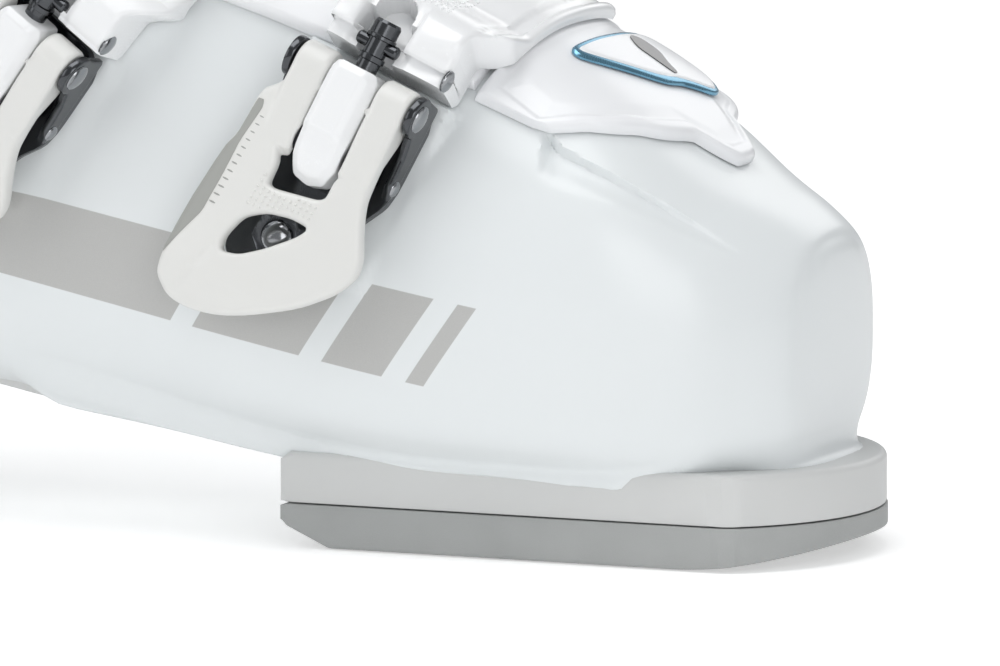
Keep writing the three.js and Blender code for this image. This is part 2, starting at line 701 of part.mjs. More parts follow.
// The catch strip: a strap over the flap with a U-shaped catch for the T-bar at its lower end.
function ladderSolid(seat, frame) {
  const stations = wrapPath(seat, frame, ladder.start, ladder.start + seat.reach, 9);
  const { halfBack, halfFront, thickness, catchHeight } = ladder;
  let solid = wrapStrip(seat, frame, stations, -halfBack, halfFront, gap + 0.2, gap + thickness);
  const { crossBarRadius, crossBarLength, hookReach, rodRadius, hookTravel } = buckle;
  const wallEnd = hookReach - crossBarRadius - gap;
  const holder = block(frame, -halfBack, halfBack, ladder.start, hookReach + 13, -9.5, catchHeight - 2.4);
  const pocket = block(frame, -crossBarLength / 2 - 0.8, crossBarLength / 2 + 0.8, wallEnd,
    hookReach + crossBarRadius + hookTravel + 2, rodHeight - crossBarRadius - gap, 12);
  const notch = block(frame, -rodRadius - 0.8, rodRadius + 0.8, ladder.start - 4, hookReach + hookTravel + 2,
    rodHeight - rodRadius - gap, 12);
  const room = block(frame, -earOuter - 1, earOuter + 1, -10, ladder.start + 0.6, -14, 14);
  const floor = wrapStrip(seat, frame, stations, -halfBack - 9, halfFront + 9, -24, gap + 0.2, 5);
  solid = solid.add(holder.subtract(floor)).subtract(pocket).subtract(notch).subtract(room);
  return solid.decompose().sort((a, b) => b.volume() - a.volume())[0];
}

// ---------- shell ----------
const cavity = wall.shell;
const boardTop = (x) => {
  const f = (x - board.heelX) / (board.toeX - board.heelX);
  return board.heelHeight + (board.toeHeight - board.heelHeight) * f;
};
// Everything under (or over) the foot board's plane, shifted up by raise.
function boardCut(raise, over = false) {
  const far = over ? 400 : -20;
  return sideCut([
    [-280, boardTop(-280) + raise],
    [80, boardTop(80) + raise],
    [80, far],
    [-280, far],
  ]);
}
const fullRows = 34;
const fullColumns = 32;
const shellOuter = tube({ to: 17.6, rows: fullRows, columns: fullColumns });
const shellInner = tube({ from: 1, to: at.shellTop + 0.5, rows: 24, columns: 26, inset: cavity });
const shellRim = [
  [-270, 128],
  [-188, 128],
  [-150, 133],
  [-120, 148],
  [-91, 170],
  [-60, 215],
  [-60, 400],
  [-270, 400],
];
const toeLug = lugSolid(
  sole.toeTip, sole.toePadLength, sole.toeRadius, sole.toePadThickness, sole.toeLugTop, 1);
const heelLug = lugSolid(
  heelTip, sole.heelPadLength, sole.heelRadius, sole.heelPadThickness, sole.heelLugTop, -1);
const waistSize = { overlap: 8, width: 40, height: 6, middle: 21 };
const waist = boxSolid(toePadRear - heelPadFront + waistSize.overlap, waistSize.width, waistSize.height,
  (toePadRear + heelPadFront) / 2, 0, waistSize.middle);
const toeFill = boxSolid(78, 46, 14, 0, 0, 15);

const frames = seats.map(seatFrame);
let shell = shellOuter.subtract(shellInner).add(toeLug).add(heelLug).add(waist).add(toeFill);
seats.forEach((seat, i) => {
  if (seat.on === "shell") shell = shell.add(seatPad(frames[i]).subtract(shellInner));
});
for (const frame of frames.slice(0, 2)) shell = shell.subtract(seatRoom(frame));
shell = shell.subtract(sideCut(shellRim));
for (const spot of toeScrews) shell = shell.subtract(screwSolid(spot, sole.toePadThickness, gap));
for (const spot of heelScrews) shell = shell.subtract(screwSolid(spot, sole.heelPadThickness, gap));
const bore = new THREE.Vector3(0, 1, 0);
const [hingeX, hingeZ] = [fitX(hinge.x), fitZ(hinge.z)];
const hingeBore = rodSolid(hinge.radius + gap, 200, 28, bore, { x: hingeX, y: 0, z: hingeZ });
shell = shell.subtract(hingeBore);

// ---------- flaps over the instep ----------
function layer(low, high, from, to, rows, columns = fullColumns) {
  return tube({ from, to, rows, columns, offset: high }).subtract(
    tube({ from: Math.max(from - 0.3, 0), to: to + 0.3, rows, columns, offset: low }),
  );
}
const flapLayer = layer(gap, gap + wall.flap, 3.2, 12.2, 20);
const toeFlapEdge = [
  [32.5, 79.5],
  [30.6, 77.8],
  [28.8, 79.1],
  [25.9, 80.8],
  [20.9, 82.8],
  [15.5, 84.3],
  [9.6, 85.1],
  [3.2, 85.6],
  [-1.3, 85.4],
  [-6.6, 87.8],
  [-12.2, 90.8],
  [-14.3, 91.2],
  [-11.4, 98.3],
  [-8.1, 103],
  [-4, 125],
  [60, 125],
];
const instepEdge = [
  [-15.4, 91.5],
  [-28.6, 95.1],
  [-45.1, 100.4],
  [-57.7, 105.2],
  [-69, 109.1],
  [-100, 124],
  [-112, 140],
  [-100, 162],
  [-84, 176],
  [-60, 190],
  [-7.6, 130],
  [-9.2, 103.4],
  [-12.5, 98.6],
];
const toeFlap = flapLayer.intersect(sideCut(toeFlapEdge));
const overClearance = 1.2;
let instepFlap = flapLayer.intersect(sideCut(instepEdge)).subtract(
  sideCut([[-156, 104], [-40, 167], [-40, 260], [-200, 260], [-200, 104]]));
for (const frame of frames.slice(0, 2)) {
  instepFlap = instepFlap.subtract(
    block(frame, -earOuter - overClearance, earOuter + overClearance, -40, padReach.front + gap, -20, 20),
  );
}
put("lower_shell", shell, materials.shell);
put("toe_flap", toeFlap, materials.flap);
put("instep_flap", instepFlap, materials.flap);

// ---------- inside the shell ----------
const inside = tube({ from: 1, to: at.shellTop + 0.5, rows: 24, columns: 26, inset: cavity + gap });
const footInset = cavity + gap + wall.liner;
const footSpace = tube({ from: 1.6, to: at.shellTop + 0.5, rows: 20, columns: 20, inset: footInset });
const lugRoom = [
  [heelTip, sole.heelPadLength, sole.heelRadius, sole.heelLugTop, -1],
  [sole.toeTip, sole.toePadLength, sole.toeRadius, sole.toeLugTop, 1],
];
let bootBoard = inside.intersect(boardCut(0)).subtract(boxSolid(300, 47, 15, -50, 0, 17));
for (const [tip, length, radius, top, direction] of lugRoom) {
  bootBoard = bootBoard.subtract(lugSolid(tip, length, radius, 5, top + gap, direction, -gap));
}
put("boot_board", bootBoard.decompose().sort((a, b) => b.volume() - a.volume())[0], materials.lining);

const splitFoot = [
  [-270, 118],
  [-156, 112],
  [-60, 206],
  [-60, 400],
  [-270, 400],
];
const splitShaft = [
  [-270, 121],
  [-164, 119],
  [-88, 218],
  [-60, 262],
  [-60, -20],
  [-270, -20],
];
const footOuter = inside.intersect(boardCut(gap, true));
let linerFoot = footOuter.subtract(footSpace.intersect(boardCut(6, true))).subtract(sideCut(splitFoot));
linerFoot = linerFoot.subtract(sideCut([[-270, 127], [-60, 174], [-60, 400], [-270, 400]]));
put("liner_foot", linerFoot, materials.liner);
const footbed = footSpace.intersect(boardCut(6 + gap, true)).intersect(boardCut(10)).subtract(
  sideSolid([[heelTip - 60, 0], [heelTip - 60, 60], [heelTip + 14, 60], [heelTip + 14, 0]]));
put("footbed", tube({ from: 1.8, to: 17, rows: 20, columns: 20, inset: cavity + 2 * gap + wall.liner })
  .intersect(footbed), materials.lining);

const shaftLower = tube({ from: 9, to: 19, rows: 14, columns: 26, inset: cavity + 3.5 });
const shaftUpper = tube({ from: 9, to: 23, rows: 22, columns: 28, offset: cuffClearance - gap - 0.3 });
const upperOnly = sideCut([
  [-270, 152],
  [-165, 160],
  [-110, 196],
  [-60, 246],
  [-60, 420],
  [-270, 420],
]);
const legSpace = tube({ from: 8, to: 23.2, rows: 20, columns: 22, inset: cavity + wall.liner });
const shaftTop = sideCut([
  [-230, 302],
  [-140, 318],
  [-40, 328],
  [-40, 460],
  [-230, 460],
]);
const tongueSlot = (grow) =>
  patch({
    rows: 10,
    columns: 6,
    from: () => 18.2 - grow / 20,
    to: () => 22.99,
    edgeLat: () => 0.4 - grow / 300,
    edgeMed: () => 0.6 + grow / 300,
    inner: -9 - grow,
    outer: 1.2 + grow,
  });
let linerShaft = shaftLower.add(shaftUpper.intersect(upperOnly)).subtract(legSpace);
linerShaft = linerShaft.subtract(sideCut(splitShaft)).subtract(shaftTop);
linerShaft = linerShaft.subtract(tongueSlot(gap));
linerShaft = linerShaft.decompose().sort((a, b) => b.volume() - a.volume())[0];
put("liner_shaft", linerShaft, materials.liner);
const tongueTop = sideCut([
  [-130, 329],
  [-20, 338],
  [-20, 460],
  [-130, 460],
]);
put("liner_tongue", tongueSlot(0).subtract(tongueTop), materials.liner);

// ---------- cuff ----------
const cuffLower = [
  [-280, 103],
  [-214, 100],
  [-182, 92],
  [-156, 87],
  [-138, 94],
  [-124, 112],
  [-104, 144],
  [-84, 163],
  [-50, 178],
  [-50, 0],
  [-280, 0],
];
const cuffTopCut = [
  [-240, 282],
  [-195, 284],
  [-140, 300],
  [-92, 303],
  [-30, 306],
  [-30, 460],
  [-240, 460],
];
const cuffTube = layer(cuffClearance, cuffOuter, 9.2, at.cuffTop + 0.9, 27);
const frontGap = patch({
  rows: 12,
  columns: 6,
  from: () => 9.6,
  to: () => 22.8,
  edgeLat: (s) => 0.44 - 0.004 * Math.max(s - 12, 0),
  edgeMed: () => 0.5,
  inner: cuffClearance - 4,
  outer: cuffOuter + 4,
});
const cuffInner = tube({
  from: 9,
  to: at.cuffTop + 0.9,
  rows: 27,
  columns: fullColumns,
  offset: cuffClearance,
});
let cuff = cuffTube.subtract(frontGap);
seats.forEach((seat, i) => {
  if (seat.on === "cuff") {
    cuff = cuff.add(seatPad(frames[i]).subtract(cuffInner));
  }
});
for (const frame of frames.slice(2)) cuff = cuff.subtract(seatRoom(frame));
cuff = cuff.subtract(sideCut(cuffLower)).subtract(sideCut(cuffTopCut)).subtract(hingeBore);
cuff = cuff.decompose().sort((a, b) => b.volume() - a.volume())[0];
put("cuff", cuff, materials.shell);

let cuffFlap = patch({
  rows: 22,
  columns: 9,
  from: () => 10.9,
  to: () => 22.4,
  edgeLat: () => 0.405,
  edgeMed: () => 0.62,
  inner: cuffOuter + gap + 0.2,
  outer: cuffFlapOuter,
});
for (const frame of frames.slice(2)) {
  cuffFlap = cuffFlap.subtract(
    block(frame, -earOuter - overClearance, earOuter + overClearance, -40, padReach.front + gap, -20, 20),
  );
}
cuffFlap = cuffFlap.subtract(sideCut(cuffLower)).subtract(sideCut(cuffTopCut));
put("cuff_flap", cuffFlap.decompose().sort((a, b) => b.volume() - a.volume())[0], materials.flap);

// ---------- ankle hinge bolts ----------
for (const [name, side] of [["lateral", -1], ["medial", 1]]) {
  const half = side < 0 ? sectionAt(13.4).lat : sectionAt(13.4).med;
  const middle = new THREE.Vector3(hingeX, 0, hingeZ);
  const face = Math.abs(probe(cuffSkin, middle, bore.clone().multiplyScalar(side)).y);
  const headCentre = face + gap + hinge.washer + hinge.headThickness / 2;
  const shankLength = headCentre - (half - cavity - 2) + 1;
  const at = (y) => ({ x: hingeX, y: side * y, z: hingeZ });
  const head = rodSolid(hinge.headRadius, hinge.headThickness, 28, bore, at(headCentre));
  const shank = rodSolid(hinge.radius, shankLength, 28, bore, at(headCentre - shankLength / 2));
  put(`ankle_bolt_${name}`, head.add(shank).subtract(inside), materials.chrome);
}

// ---------- power strap ----------
const strapLow = cuffFlapOuter + strap.air;
const strapBand = (low, high) => layer(low, high, 19.6, 22.9, 6);
const strapZone = sideCut([
  [-240, 263],
  [-140, 279],
  [-40, 286],
  [-40, 322],
  [-240, 299],
]);
put("power_strap", strapBand(strapLow, strapLow + strap.thickness).intersect(strapZone), materials.strap);

// ---------- buckles ----------
seats.forEach((seat, i) => {
  const frame = frames[i];
  put(`${seat.name}_base_plate`, basePlate(frame), materials.chrome);
  put(`${seat.name}_lever`, leverSolid(frame), materials.pearl);
  put(`${seat.name}_barrel`, barrelSolid(frame), materials.pearl);
  put(`${seat.name}_hook`, hookSolid(frame), materials.chrome);
  put(`${seat.name}_ladder`, ladderSolid(seat, frame), materials.pearl);
});

// ---------- toe badge and spine bolts ----------
const badgeLow = gap + wall.flap + gap + badge.air;
const badgeSolid = patch({
  rows: 5,
  columns: 6,
  from: () => 4.2,
  to: () => 6.1,
  edgeLat: () => 0.43,
  edgeMed: () => 0.57,
  inner: badgeLow,
  outer: badgeLow + badge.thickness - gap,
});
put("toe_badge", badgeSolid, materials.badge);

const spine = [
  [-232, 122],
  [-227, 146],
];
spine.forEach(([x, z], i) => {
  const inward = new THREE.Vector3(-1, 0, 0);
  const face = probe(cuffSkin, new THREE.Vector3(fitX(x) + 60, 0, fitZ(z)), inward);
  const x1 = face.x - gap - spineBolt.seat - spineBolt.thickness / 2;
  const head = rodSolid(spineBolt.radius, spineBolt.thickness, 20, inward, { x: x1, y: 0, z: fitZ(z) });
  put(`spine_bolt_${i + 1}`, head, materials.chrome);
});

export default boot;
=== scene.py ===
import json
import math
import bmesh
import bpy
import numpy as np
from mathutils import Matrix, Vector
from mathutils.bvhtree import BVHTree
from mathutils.geometry import delaunay_2d_cdt


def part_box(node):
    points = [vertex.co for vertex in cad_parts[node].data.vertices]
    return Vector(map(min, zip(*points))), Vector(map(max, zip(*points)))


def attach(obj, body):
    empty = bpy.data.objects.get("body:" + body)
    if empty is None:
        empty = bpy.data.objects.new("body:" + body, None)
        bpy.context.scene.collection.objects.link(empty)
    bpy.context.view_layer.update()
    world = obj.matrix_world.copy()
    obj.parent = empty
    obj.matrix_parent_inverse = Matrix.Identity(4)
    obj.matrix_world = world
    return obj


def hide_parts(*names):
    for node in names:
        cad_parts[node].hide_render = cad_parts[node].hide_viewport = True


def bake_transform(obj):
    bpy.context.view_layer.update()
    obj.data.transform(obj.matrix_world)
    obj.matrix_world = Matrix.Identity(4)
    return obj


# Right-foot alpine ski boot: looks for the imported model, in metres, on the same axes.
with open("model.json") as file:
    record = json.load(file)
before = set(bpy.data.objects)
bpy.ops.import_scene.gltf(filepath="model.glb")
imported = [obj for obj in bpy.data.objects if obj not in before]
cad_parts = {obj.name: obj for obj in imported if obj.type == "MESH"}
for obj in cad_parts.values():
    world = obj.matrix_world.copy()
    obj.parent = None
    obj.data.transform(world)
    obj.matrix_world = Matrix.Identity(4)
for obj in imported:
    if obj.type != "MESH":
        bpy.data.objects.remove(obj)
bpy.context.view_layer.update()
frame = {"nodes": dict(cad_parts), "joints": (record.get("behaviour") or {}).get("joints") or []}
nodes = frame["nodes"]
scene = bpy.context.scene
print("stage: frame loaded")

# Camera and light
view = {"azimuth": 22.0, "elevation": 7.4, "target": (-0.0093, -0.035, 0.045), "distance": 2.0,
        "across": 0.1961}
az, el = math.radians(view["azimuth"]), math.radians(view["elevation"])
back = Vector((math.sin(az) * math.cos(el), -math.cos(az) * math.cos(el), math.sin(el)))
camera = bpy.data.objects.new("camera", bpy.data.cameras.new("camera"))
camera.data.sensor_width = 36
camera.data.lens = 36 * view["distance"] / view["across"]
camera.data.clip_end = 20
camera.location = Vector(view["target"]) + back * view["distance"]
camera.rotation_euler = back.to_track_quat("Z", "Y").to_euler()
scene.collection.objects.link(camera)
scene.camera = camera

scene.view_settings.view_transform = "Standard"
world = bpy.data.worlds.new("studio")
world.use_nodes = True
sky = world.node_tree
seen = sky.nodes.new("ShaderNodeBackground")
seen.inputs[1].default_value = 1.0
sky.nodes["Background"].inputs[0].default_value = (0.96, 0.98, 1, 1)
sky.nodes["Background"].inputs[1].default_value = 0.36
choose = sky.nodes.new("ShaderNodeMixShader")
sky.links.new(sky.nodes.new("ShaderNodeLightPath").outputs["Is Camera Ray"], choose.inputs[0])
sky.links.new(sky.nodes["Background"].outputs[0], choose.inputs[1])
sky.links.new(seen.outputs[0], choose.inputs[2])
sky.links.new(choose.outputs[0], sky.nodes["World Output"].inputs[0])
scene.world = world


def areaLight(name, place, aim, size, power):
    lamp = bpy.data.lights.new(name, "AREA")
    lamp.shape = "RECTANGLE"
    lamp.size, lamp.size_y = size
    lamp.energy = power
    holder = bpy.data.objects.new(name, lamp)
    holder.location = place
    holder.rotation_euler = (Vector(place) - Vector(aim)).to_track_quat("Z", "Y").to_euler()
    scene.collection.objects.link(holder)


areaLight("topLight", (-0.2, -0.25, 1.3), (-0.05, 0, 0.08), (1.2, 1.0), 9.6)
areaLight("leftLight", (-1.2, -1.1, 0.7), (-0.03, 0, 0.08), (0.8, 1.0), 3.0)
areaLight("frontLight", (0.9, -1.4, 0.5), (0, 0, 0.08), (0.9, 0.9), 5.6)
areaLight("rearLight", (0.3, 1.5, 0.9), (-0.05, 0, 0.12), (1.2, 0.8), 4)


# Shading helpers

# One number in a shader, added up with Math nodes
class Val:
    def __init__(self, mat, socket):
        self.mat, self.socket = mat, socket

    def op(self, kind, *others):
        sockets = [self] + list(others)
        return self.mat.node("ShaderNodeMath", {"operation": kind}, *sockets).out("Value")

    def __add__(self, o): return self.op("ADD", o)
    def __sub__(self, o): return self.op("SUBTRACT", o)
    def __mul__(self, o): return self.op("MULTIPLY", o)
    def __truediv__(self, o): return self.op("DIVIDE", o)
    def __radd__(self, o): return self.op("ADD", o)
    def __rmul__(self, o): return self.op("MULTIPLY", o)
    def __rsub__(self, o): return (self * -1.0) + o
    def __neg__(self): return self * -1.0
    def low(self, o): return self.op("MINIMUM", o)
    def high(self, o): return self.op("MAXIMUM", o)
    def sine(self): return self.op("SINE")
    def power(self, o): return self.op("POWER", o)

    # 1 where the value is over edge, fading over soft
    def inside(self, edge, soft):
        return self.mat.node("ShaderNodeMapRange", {"interpolation_type": "SMOOTHSTEP"},
                             Value=self, **{"From Min": edge - soft, "From Max": edge + soft}).out("Result")


class Made:
    def __init__(self, mat, node):
        self.mat, self.node = mat, node

    def out(self, name):
        return Val(self.mat, self.node.outputs[name])


# A node material and the ways to add to it
class Mat:
    def __init__(self, name):
        self.data = bpy.data.materials.new(name)
        self.data.use_nodes = True
        self.tree = self.data.node_tree
        self.tree.nodes.clear()
        self.shader = self.tree.nodes.new("ShaderNodeBsdfPrincipled")
        output = self.tree.nodes.new("ShaderNodeOutputMaterial")
        self.tree.links.new(self.shader.outputs[0], output.inputs[0])
        self.places = self.node("ShaderNodeTexCoord", {})

    def link(self, socket, value):
        if isinstance(value, Val):
            self.tree.links.new(value.socket, socket)
        elif isinstance(value, (tuple, list)) and len(value) == 3 and len(socket.default_value) == 4:
            socket.default_value = (*value, 1)
        else:
            socket.default_value = value

    def node(self, kind, settings, *ordered, **named):
        made = self.tree.nodes.new(kind)
        for key, value in settings.items():
            setattr(made, key, value)
        for socket, value in zip(made.inputs, ordered):
            self.link(socket, value)
        for key, value in named.items():
            self.link(made.inputs[key], value)
        return Made(self, made)

    def set(self, **values):
        for key, value in values.items():
            self.link(self.shader.inputs[key.replace("_", " ")], value)
        return self

    def coords(self, source="Object"):
        return self.places.out(source)

    def axes(self, source="Object"):
        parts = self.node("ShaderNodeSeparateXYZ", {}, self.coords(source))
        return parts.out("X"), parts.out("Y"), parts.out("Z")

    def noise(self, scale, detail=3.0, source="Object", rough=0.5):
        made = self.node("ShaderNodeTexNoise", {}, Vector=self.coords(source), Scale=scale, Detail=detail,
                         Roughness=rough)
        return made.out("Fac") if "Fac" in made.node.outputs else made.out("Factor")

    def mix(self, amount, first, second):
        made = self.node("ShaderNodeMix", {"data_type": "RGBA"})
        self.link(made.node.inputs[0], amount)
        self.link(made.node.inputs[6], first)
        self.link(made.node.inputs[7], second)
        return Val(self, made.node.outputs[2])

    def bump(self, height, strength, distance, under=None):
        values = {"Height": height, "Strength": strength, "Distance": distance}
        if under is not None:
            values["Normal"] = under
        return self.node("ShaderNodeBump", {}, **values).out("Normal")


# sRGB 0-255 to the linear colour a shader takes
def tint(r, g, b):
    return tuple((c / 255 / 12.92) if c < 10.3 else ((c / 255 + 0.055) / 1.055) ** 2.4 for c in (r, g, b))


def plastic(name, colour, rough, coat=0.25, speck=0.03, grain=5200.0, graphic=None):
    mat = Mat(name)
    cloud = mat.noise(26.0, 2.0)
    fine = mat.noise(grain, 2.0)
    scuff = mat.noise(420.0, 6.0, rough=0.75).inside(0.69, 0.05)
    shade = mat.mix(cloud, tuple(c * (1 - speck) for c in colour), colour)
    if graphic:
        shade = graphic(mat, shade)
    mat.set(Base_Color=shade, Roughness=(fine - 0.5) * 0.08 + (cloud - 0.5) * 0.06 + scuff * 0.1 + rough,
            Coat_Weight=coat, Coat_Roughness=0.18, IOR=1.47,
            Normal=mat.bump(fine, 0.12, 0.00006, mat.bump(cloud, 0.1, 0.0008)))
    return mat


def metal(name, colour, rough, scratch=0.12):
    mat = Mat(name)
    fine = mat.noise(2400.0, 4.0, rough=0.7)
    streak = mat.node("ShaderNodeTexWave", {"wave_type": "BANDS"}, Vector=mat.coords(), Scale=900.0,
                      Distortion=9.0, Detail=3.0).out("Fac")
    dull = mat.noise(150.0, 3.0)
    shade = mat.mix(dull, tuple(c * 0.75 for c in colour), colour)
    mat.set(Base_Color=shade, Metallic=1.0, Roughness=(dull - 0.5) * 0.15 + streak * scratch * 0.5 + rough,
            Normal=mat.bump(fine, 0.12, 0.00005))
    return mat


def rubber(name, colour):
    mat = Mat(name)
    fine = mat.noise(3800.0, 3.0)
    cloud = mat.noise(60.0, 3.0)
    shade = mat.mix(cloud * 0.7 + fine * 0.3, tuple(c * 0.78 for c in colour),
                    tuple(c * 1.1 for c in colour))
    mat.set(Base_Color=shade, Roughness=(fine - 0.5) * 0.2 + 0.62, Coat_Weight=0.05,
            Normal=mat.bump(fine, 0.35, 0.00012, mat.bump(cloud, 0.2, 0.0006)))
    return mat


def fabric(name, colour, threads=900.0, source="UV"):
    mat = Mat(name)
    x, y, z = mat.axes(source)
    weave = (x * threads * 6.2832).sine() * (y * threads * 6.2832).sine()
    fuzz = mat.noise(2600.0, 4.0, rough=0.7)
    wear = mat.noise(30.0, 3.0)
    lift = weave * 0.5 + 0.5
    shade = mat.mix(lift * 0.5 + fuzz * 0.5, tuple(c * 0.6 for c in colour), colour)
    shade = mat.mix(wear * 0.35, shade, tuple(min(1, c * 1.15) for c in colour))
    mat.set(Base_Color=shade, Roughness=fuzz * 0.15 + 0.78, Sheen_Weight=0.3, Sheen_Roughness=0.5,
            Normal=mat.bump(lift + fuzz * 0.3, 0.5, 0.0002))
    return mat


# Plain grey bars, slanted, in a band along the lateral side
def sideBars(mat, shade):
    x, y, z = mat.axes()
    along = x * 0.9833 - z * 0.1822
    across = x * 0.1822 + z * 0.9833
    rise = across - 0.0313
    slanted = along - rise * 0.45
    band = rise.inside(0.0, 0.0001) * (1.0 - rise.inside(0.0175, 0.0001))
    first = slanted.inside(-0.0300, 0.0001) * (1.0 - slanted.inside(-0.0262, 0.0001))
    second = slanted.inside(-0.0480, 0.0001) * (1.0 - slanted.inside(-0.0350, 0.0001))
    third = slanted.inside(-0.0770, 0.0001) * (1.0 - slanted.inside(-0.0530, 0.0001))
    rest = (1.0 - slanted.inside(-0.0820, 0.0001)) * slanted.inside(-0.1300, 0.0001)
    marks = band * (first + second + third + rest) * (1.0 - y.inside(0.0, 0.001))
    grit = mat.noise(5200.0, 2.0)
    return mat.mix(marks, shade, mat.mix(grit, tint(182, 182, 180), tint(196, 196, 194)))


shellWhite = plastic("shellWhite", tint(236, 240, 241), 0.34, coat=0.3, graphic=sideBars)
flapWhite = plastic("flapWhite", tint(248, 249, 251), 0.32, coat=0.35)
lugWhite = plastic("lugWhite", tint(216, 217, 216), 0.45, coat=0.12, speck=0.06)
leverWhite = plastic("leverWhite", tint(232, 232, 229), 0.36, coat=0.25, grain=4200.0)
pearlWhite = plastic("pearlWhite", tint(249, 250, 251), 0.26, coat=0.6)
darkSteel = metal("darkSteel", tint(92, 94, 97), 0.13)
brightSteel = metal("brightSteel", tint(168, 170, 173), 0.11)
greyRubber = rubber("greyRubber", tint(176, 178, 177))
stripGrey = plastic("stripGrey", tint(168, 169, 165), 0.5, coat=0.0, speck=0.1, grain=9000.0)
linerCloth = fabric("linerCloth", tint(214, 216, 220), 700.0)
liningCloth = fabric("liningCloth", tint(120, 124, 130), 900.0)
strapCloth = fabric("strapCloth", tint(176, 178, 182), 420.0)
badgeBlue = metal("badgeBlue", tint(126, 176, 202), 0.22)
boardGrey = plastic("boardGrey", tint(120, 123, 126), 0.55, coat=0.0, speck=0.08, grain=3600.0)
markDark = plastic("markDark", tint(34, 34, 36), 0.3, coat=0.5)
print("stage: materials made")

# The boot's outer form, the same as the solids have (millimetres)
# topX, topZ, baseX, baseZ, lateral, medial, widest, squareness over and under
sections = np.array([
    (49.2, 54.6, 49.2, 53.2, 0.6, 0.6, 0.5, 2.0, 2.0),
    (48.7, 60.0, 48.7, 42.0, 10.0, 12.0, 0.5, 2.4, 2.4),
    (47.7, 62.4, 47.7, 30.0, 17.5, 20.0, 0.48, 2.5, 2.5),
    (46.0, 65.0, 46.0, 20.0, 24.0, 26.5, 0.47, 2.6, 2.7),
    (39.6, 69.2, 39.6, 15.0, 31.0, 33.0, 0.47, 2.8, 2.9),
    (30.0, 74.8, 30.0, 13.0, 38.0, 38.5, 0.46, 3.0, 3.0),
    (15.0, 86.6, 15.0, 13.0, 44.0, 43.0, 0.43, 3.0, 3.1),
    (-5.0, 99.6, -5.0, 14.5, 47.5, 46.0, 0.36, 2.45, 3.1),
    (-32.0, 117.0, -32.0, 16.0, 49.5, 48.5, 0.3, 2.1, 3.0),
    (-60.0, 137.0, -60.0, 19.0, 48.5, 47.0, 0.29, 2.05, 2.8),
    (-80.0, 153.5, -92.0, 23.0, 46.5, 45.0, 0.33, 2.2, 2.6),
    (-92.0, 167.0, -130.0, 25.5, 44.5, 43.5, 0.4, 2.2, 2.5),
    (-99.0, 177.0, -170.0, 24.5, 43.5, 42.5, 0.45, 2.2, 2.4),
    (-103.0, 184.0, -205.0, 24.0, 43.0, 42.0, 0.48, 2.2, 2.4),
    (-105.0, 189.0, -226.0, 36.0, 43.0, 42.0, 0.5, 2.2, 2.3),
    (-106.5, 194.0, -232.0, 66.0, 44.5, 43.5, 0.5, 2.3, 2.2),
    (-107.5, 200.0, -230.0, 100.0, 46.5, 45.0, 0.5, 2.3, 2.2),
    (-107.5, 208.0, -225.0, 134.0, 47.5, 46.0, 0.5, 2.3, 2.3),
    (-106.0, 219.0, -219.0, 163.0, 48.5, 47.0, 0.5, 2.3, 2.3),
    (-102.0, 235.0, -213.0, 192.0, 50.5, 49.0, 0.5, 2.3, 2.4),
    (-95.0, 258.0, -206.0, 224.0, 53.0, 51.5, 0.5, 2.3, 2.4),
    (-88.0, 282.0, -199.0, 258.0, 55.0, 53.5, 0.5, 2.3, 2.4),
    (-84.0, 300.0, -194.0, 285.0, 56.0, 54.5, 0.5, 2.3, 2.4),
    (-80.0, 320.0, -190.0, 309.0, 56.5, 55.0, 0.5, 2.3, 2.4),
])
lastSection = len(sections) - 1
wall = {"shell": 4.5, "cuffAir": 4.4, "cuff": 4.5, "flap": 2.6, "cuffFlap": 3.0}
cuffFace = wall["cuffAir"] + wall["cuff"]


def sectionAt(s):
    i = np.clip(np.floor(s).astype(int), 0, lastSection - 1)
    f = (s - i)[..., None]
    pick = lambda k: sections[np.clip(k, 0, lastSection)]
    a, b, d, e = pick(i - 1), pick(i), pick(i + 1), pick(i + 2)
    return ((2 * f**3 - 3 * f**2 + 1) * b + (f**3 - 2 * f**2 + f) * (d - a) / 2
            + (3 * f**2 - 2 * f**3) * d + (f**3 - f**2) * (e - b) / 2)


def formPoint(s, t, inset=0.0):
    s, t = np.broadcast_arrays(np.asarray(s, float), np.asarray(t, float))
    topX, topZ, baseX, baseZ, lat, med, wide, squareTop, squareBase = np.moveaxis(sectionAt(s), -1, 0)
    dx, dz = topX - baseX, topZ - baseZ
    length = np.hypot(dx, dz)
    shrink = np.minimum(inset, length * 0.45) / np.maximum(length, 1e-6)
    rise, side = -np.cos(2 * np.pi * t), np.sin(2 * np.pi * t)
    power = 2 / np.where(rise >= 0, squareTop, squareBase)
    reach = np.sign(rise) * np.abs(rise) ** power
    place = wide + reach * np.where(rise >= 0, 1 - wide - shrink, wide - shrink)
    half = np.where(side >= 0, lat, med)
    y = -np.sign(side) * np.maximum(half - inset, half * 0.1) * np.abs(side) ** power
    nose = np.clip((baseX - 15) / (sections[0][0] - 15), 0, 1)
    nose = nose * nose * (3 - 2 * nose)
    return np.stack([baseX + dx * place - inset * nose, y, baseZ + dz * place], -1)


def formNormal(s, t):
    step = 0.02
    s, t = np.broadcast_arrays(np.asarray(s, float), np.asarray(t, float))
    middle = np.clip(s, 0.06, lastSection - step)
    ahead = formPoint(middle + step, t) - formPoint(middle - step, t)
    around = formPoint(middle, t + step / 4) - formPoint(middle, t - step / 4)
    normal = np.cross(around, ahead)
    return normal / np.maximum(np.linalg.norm(normal, axis=-1, keepdims=True), 1e-9)


def skin(s, t, offset=0.0):
    return formPoint(s, t) + formNormal(s, t) * np.asarray(offset)[..., None]


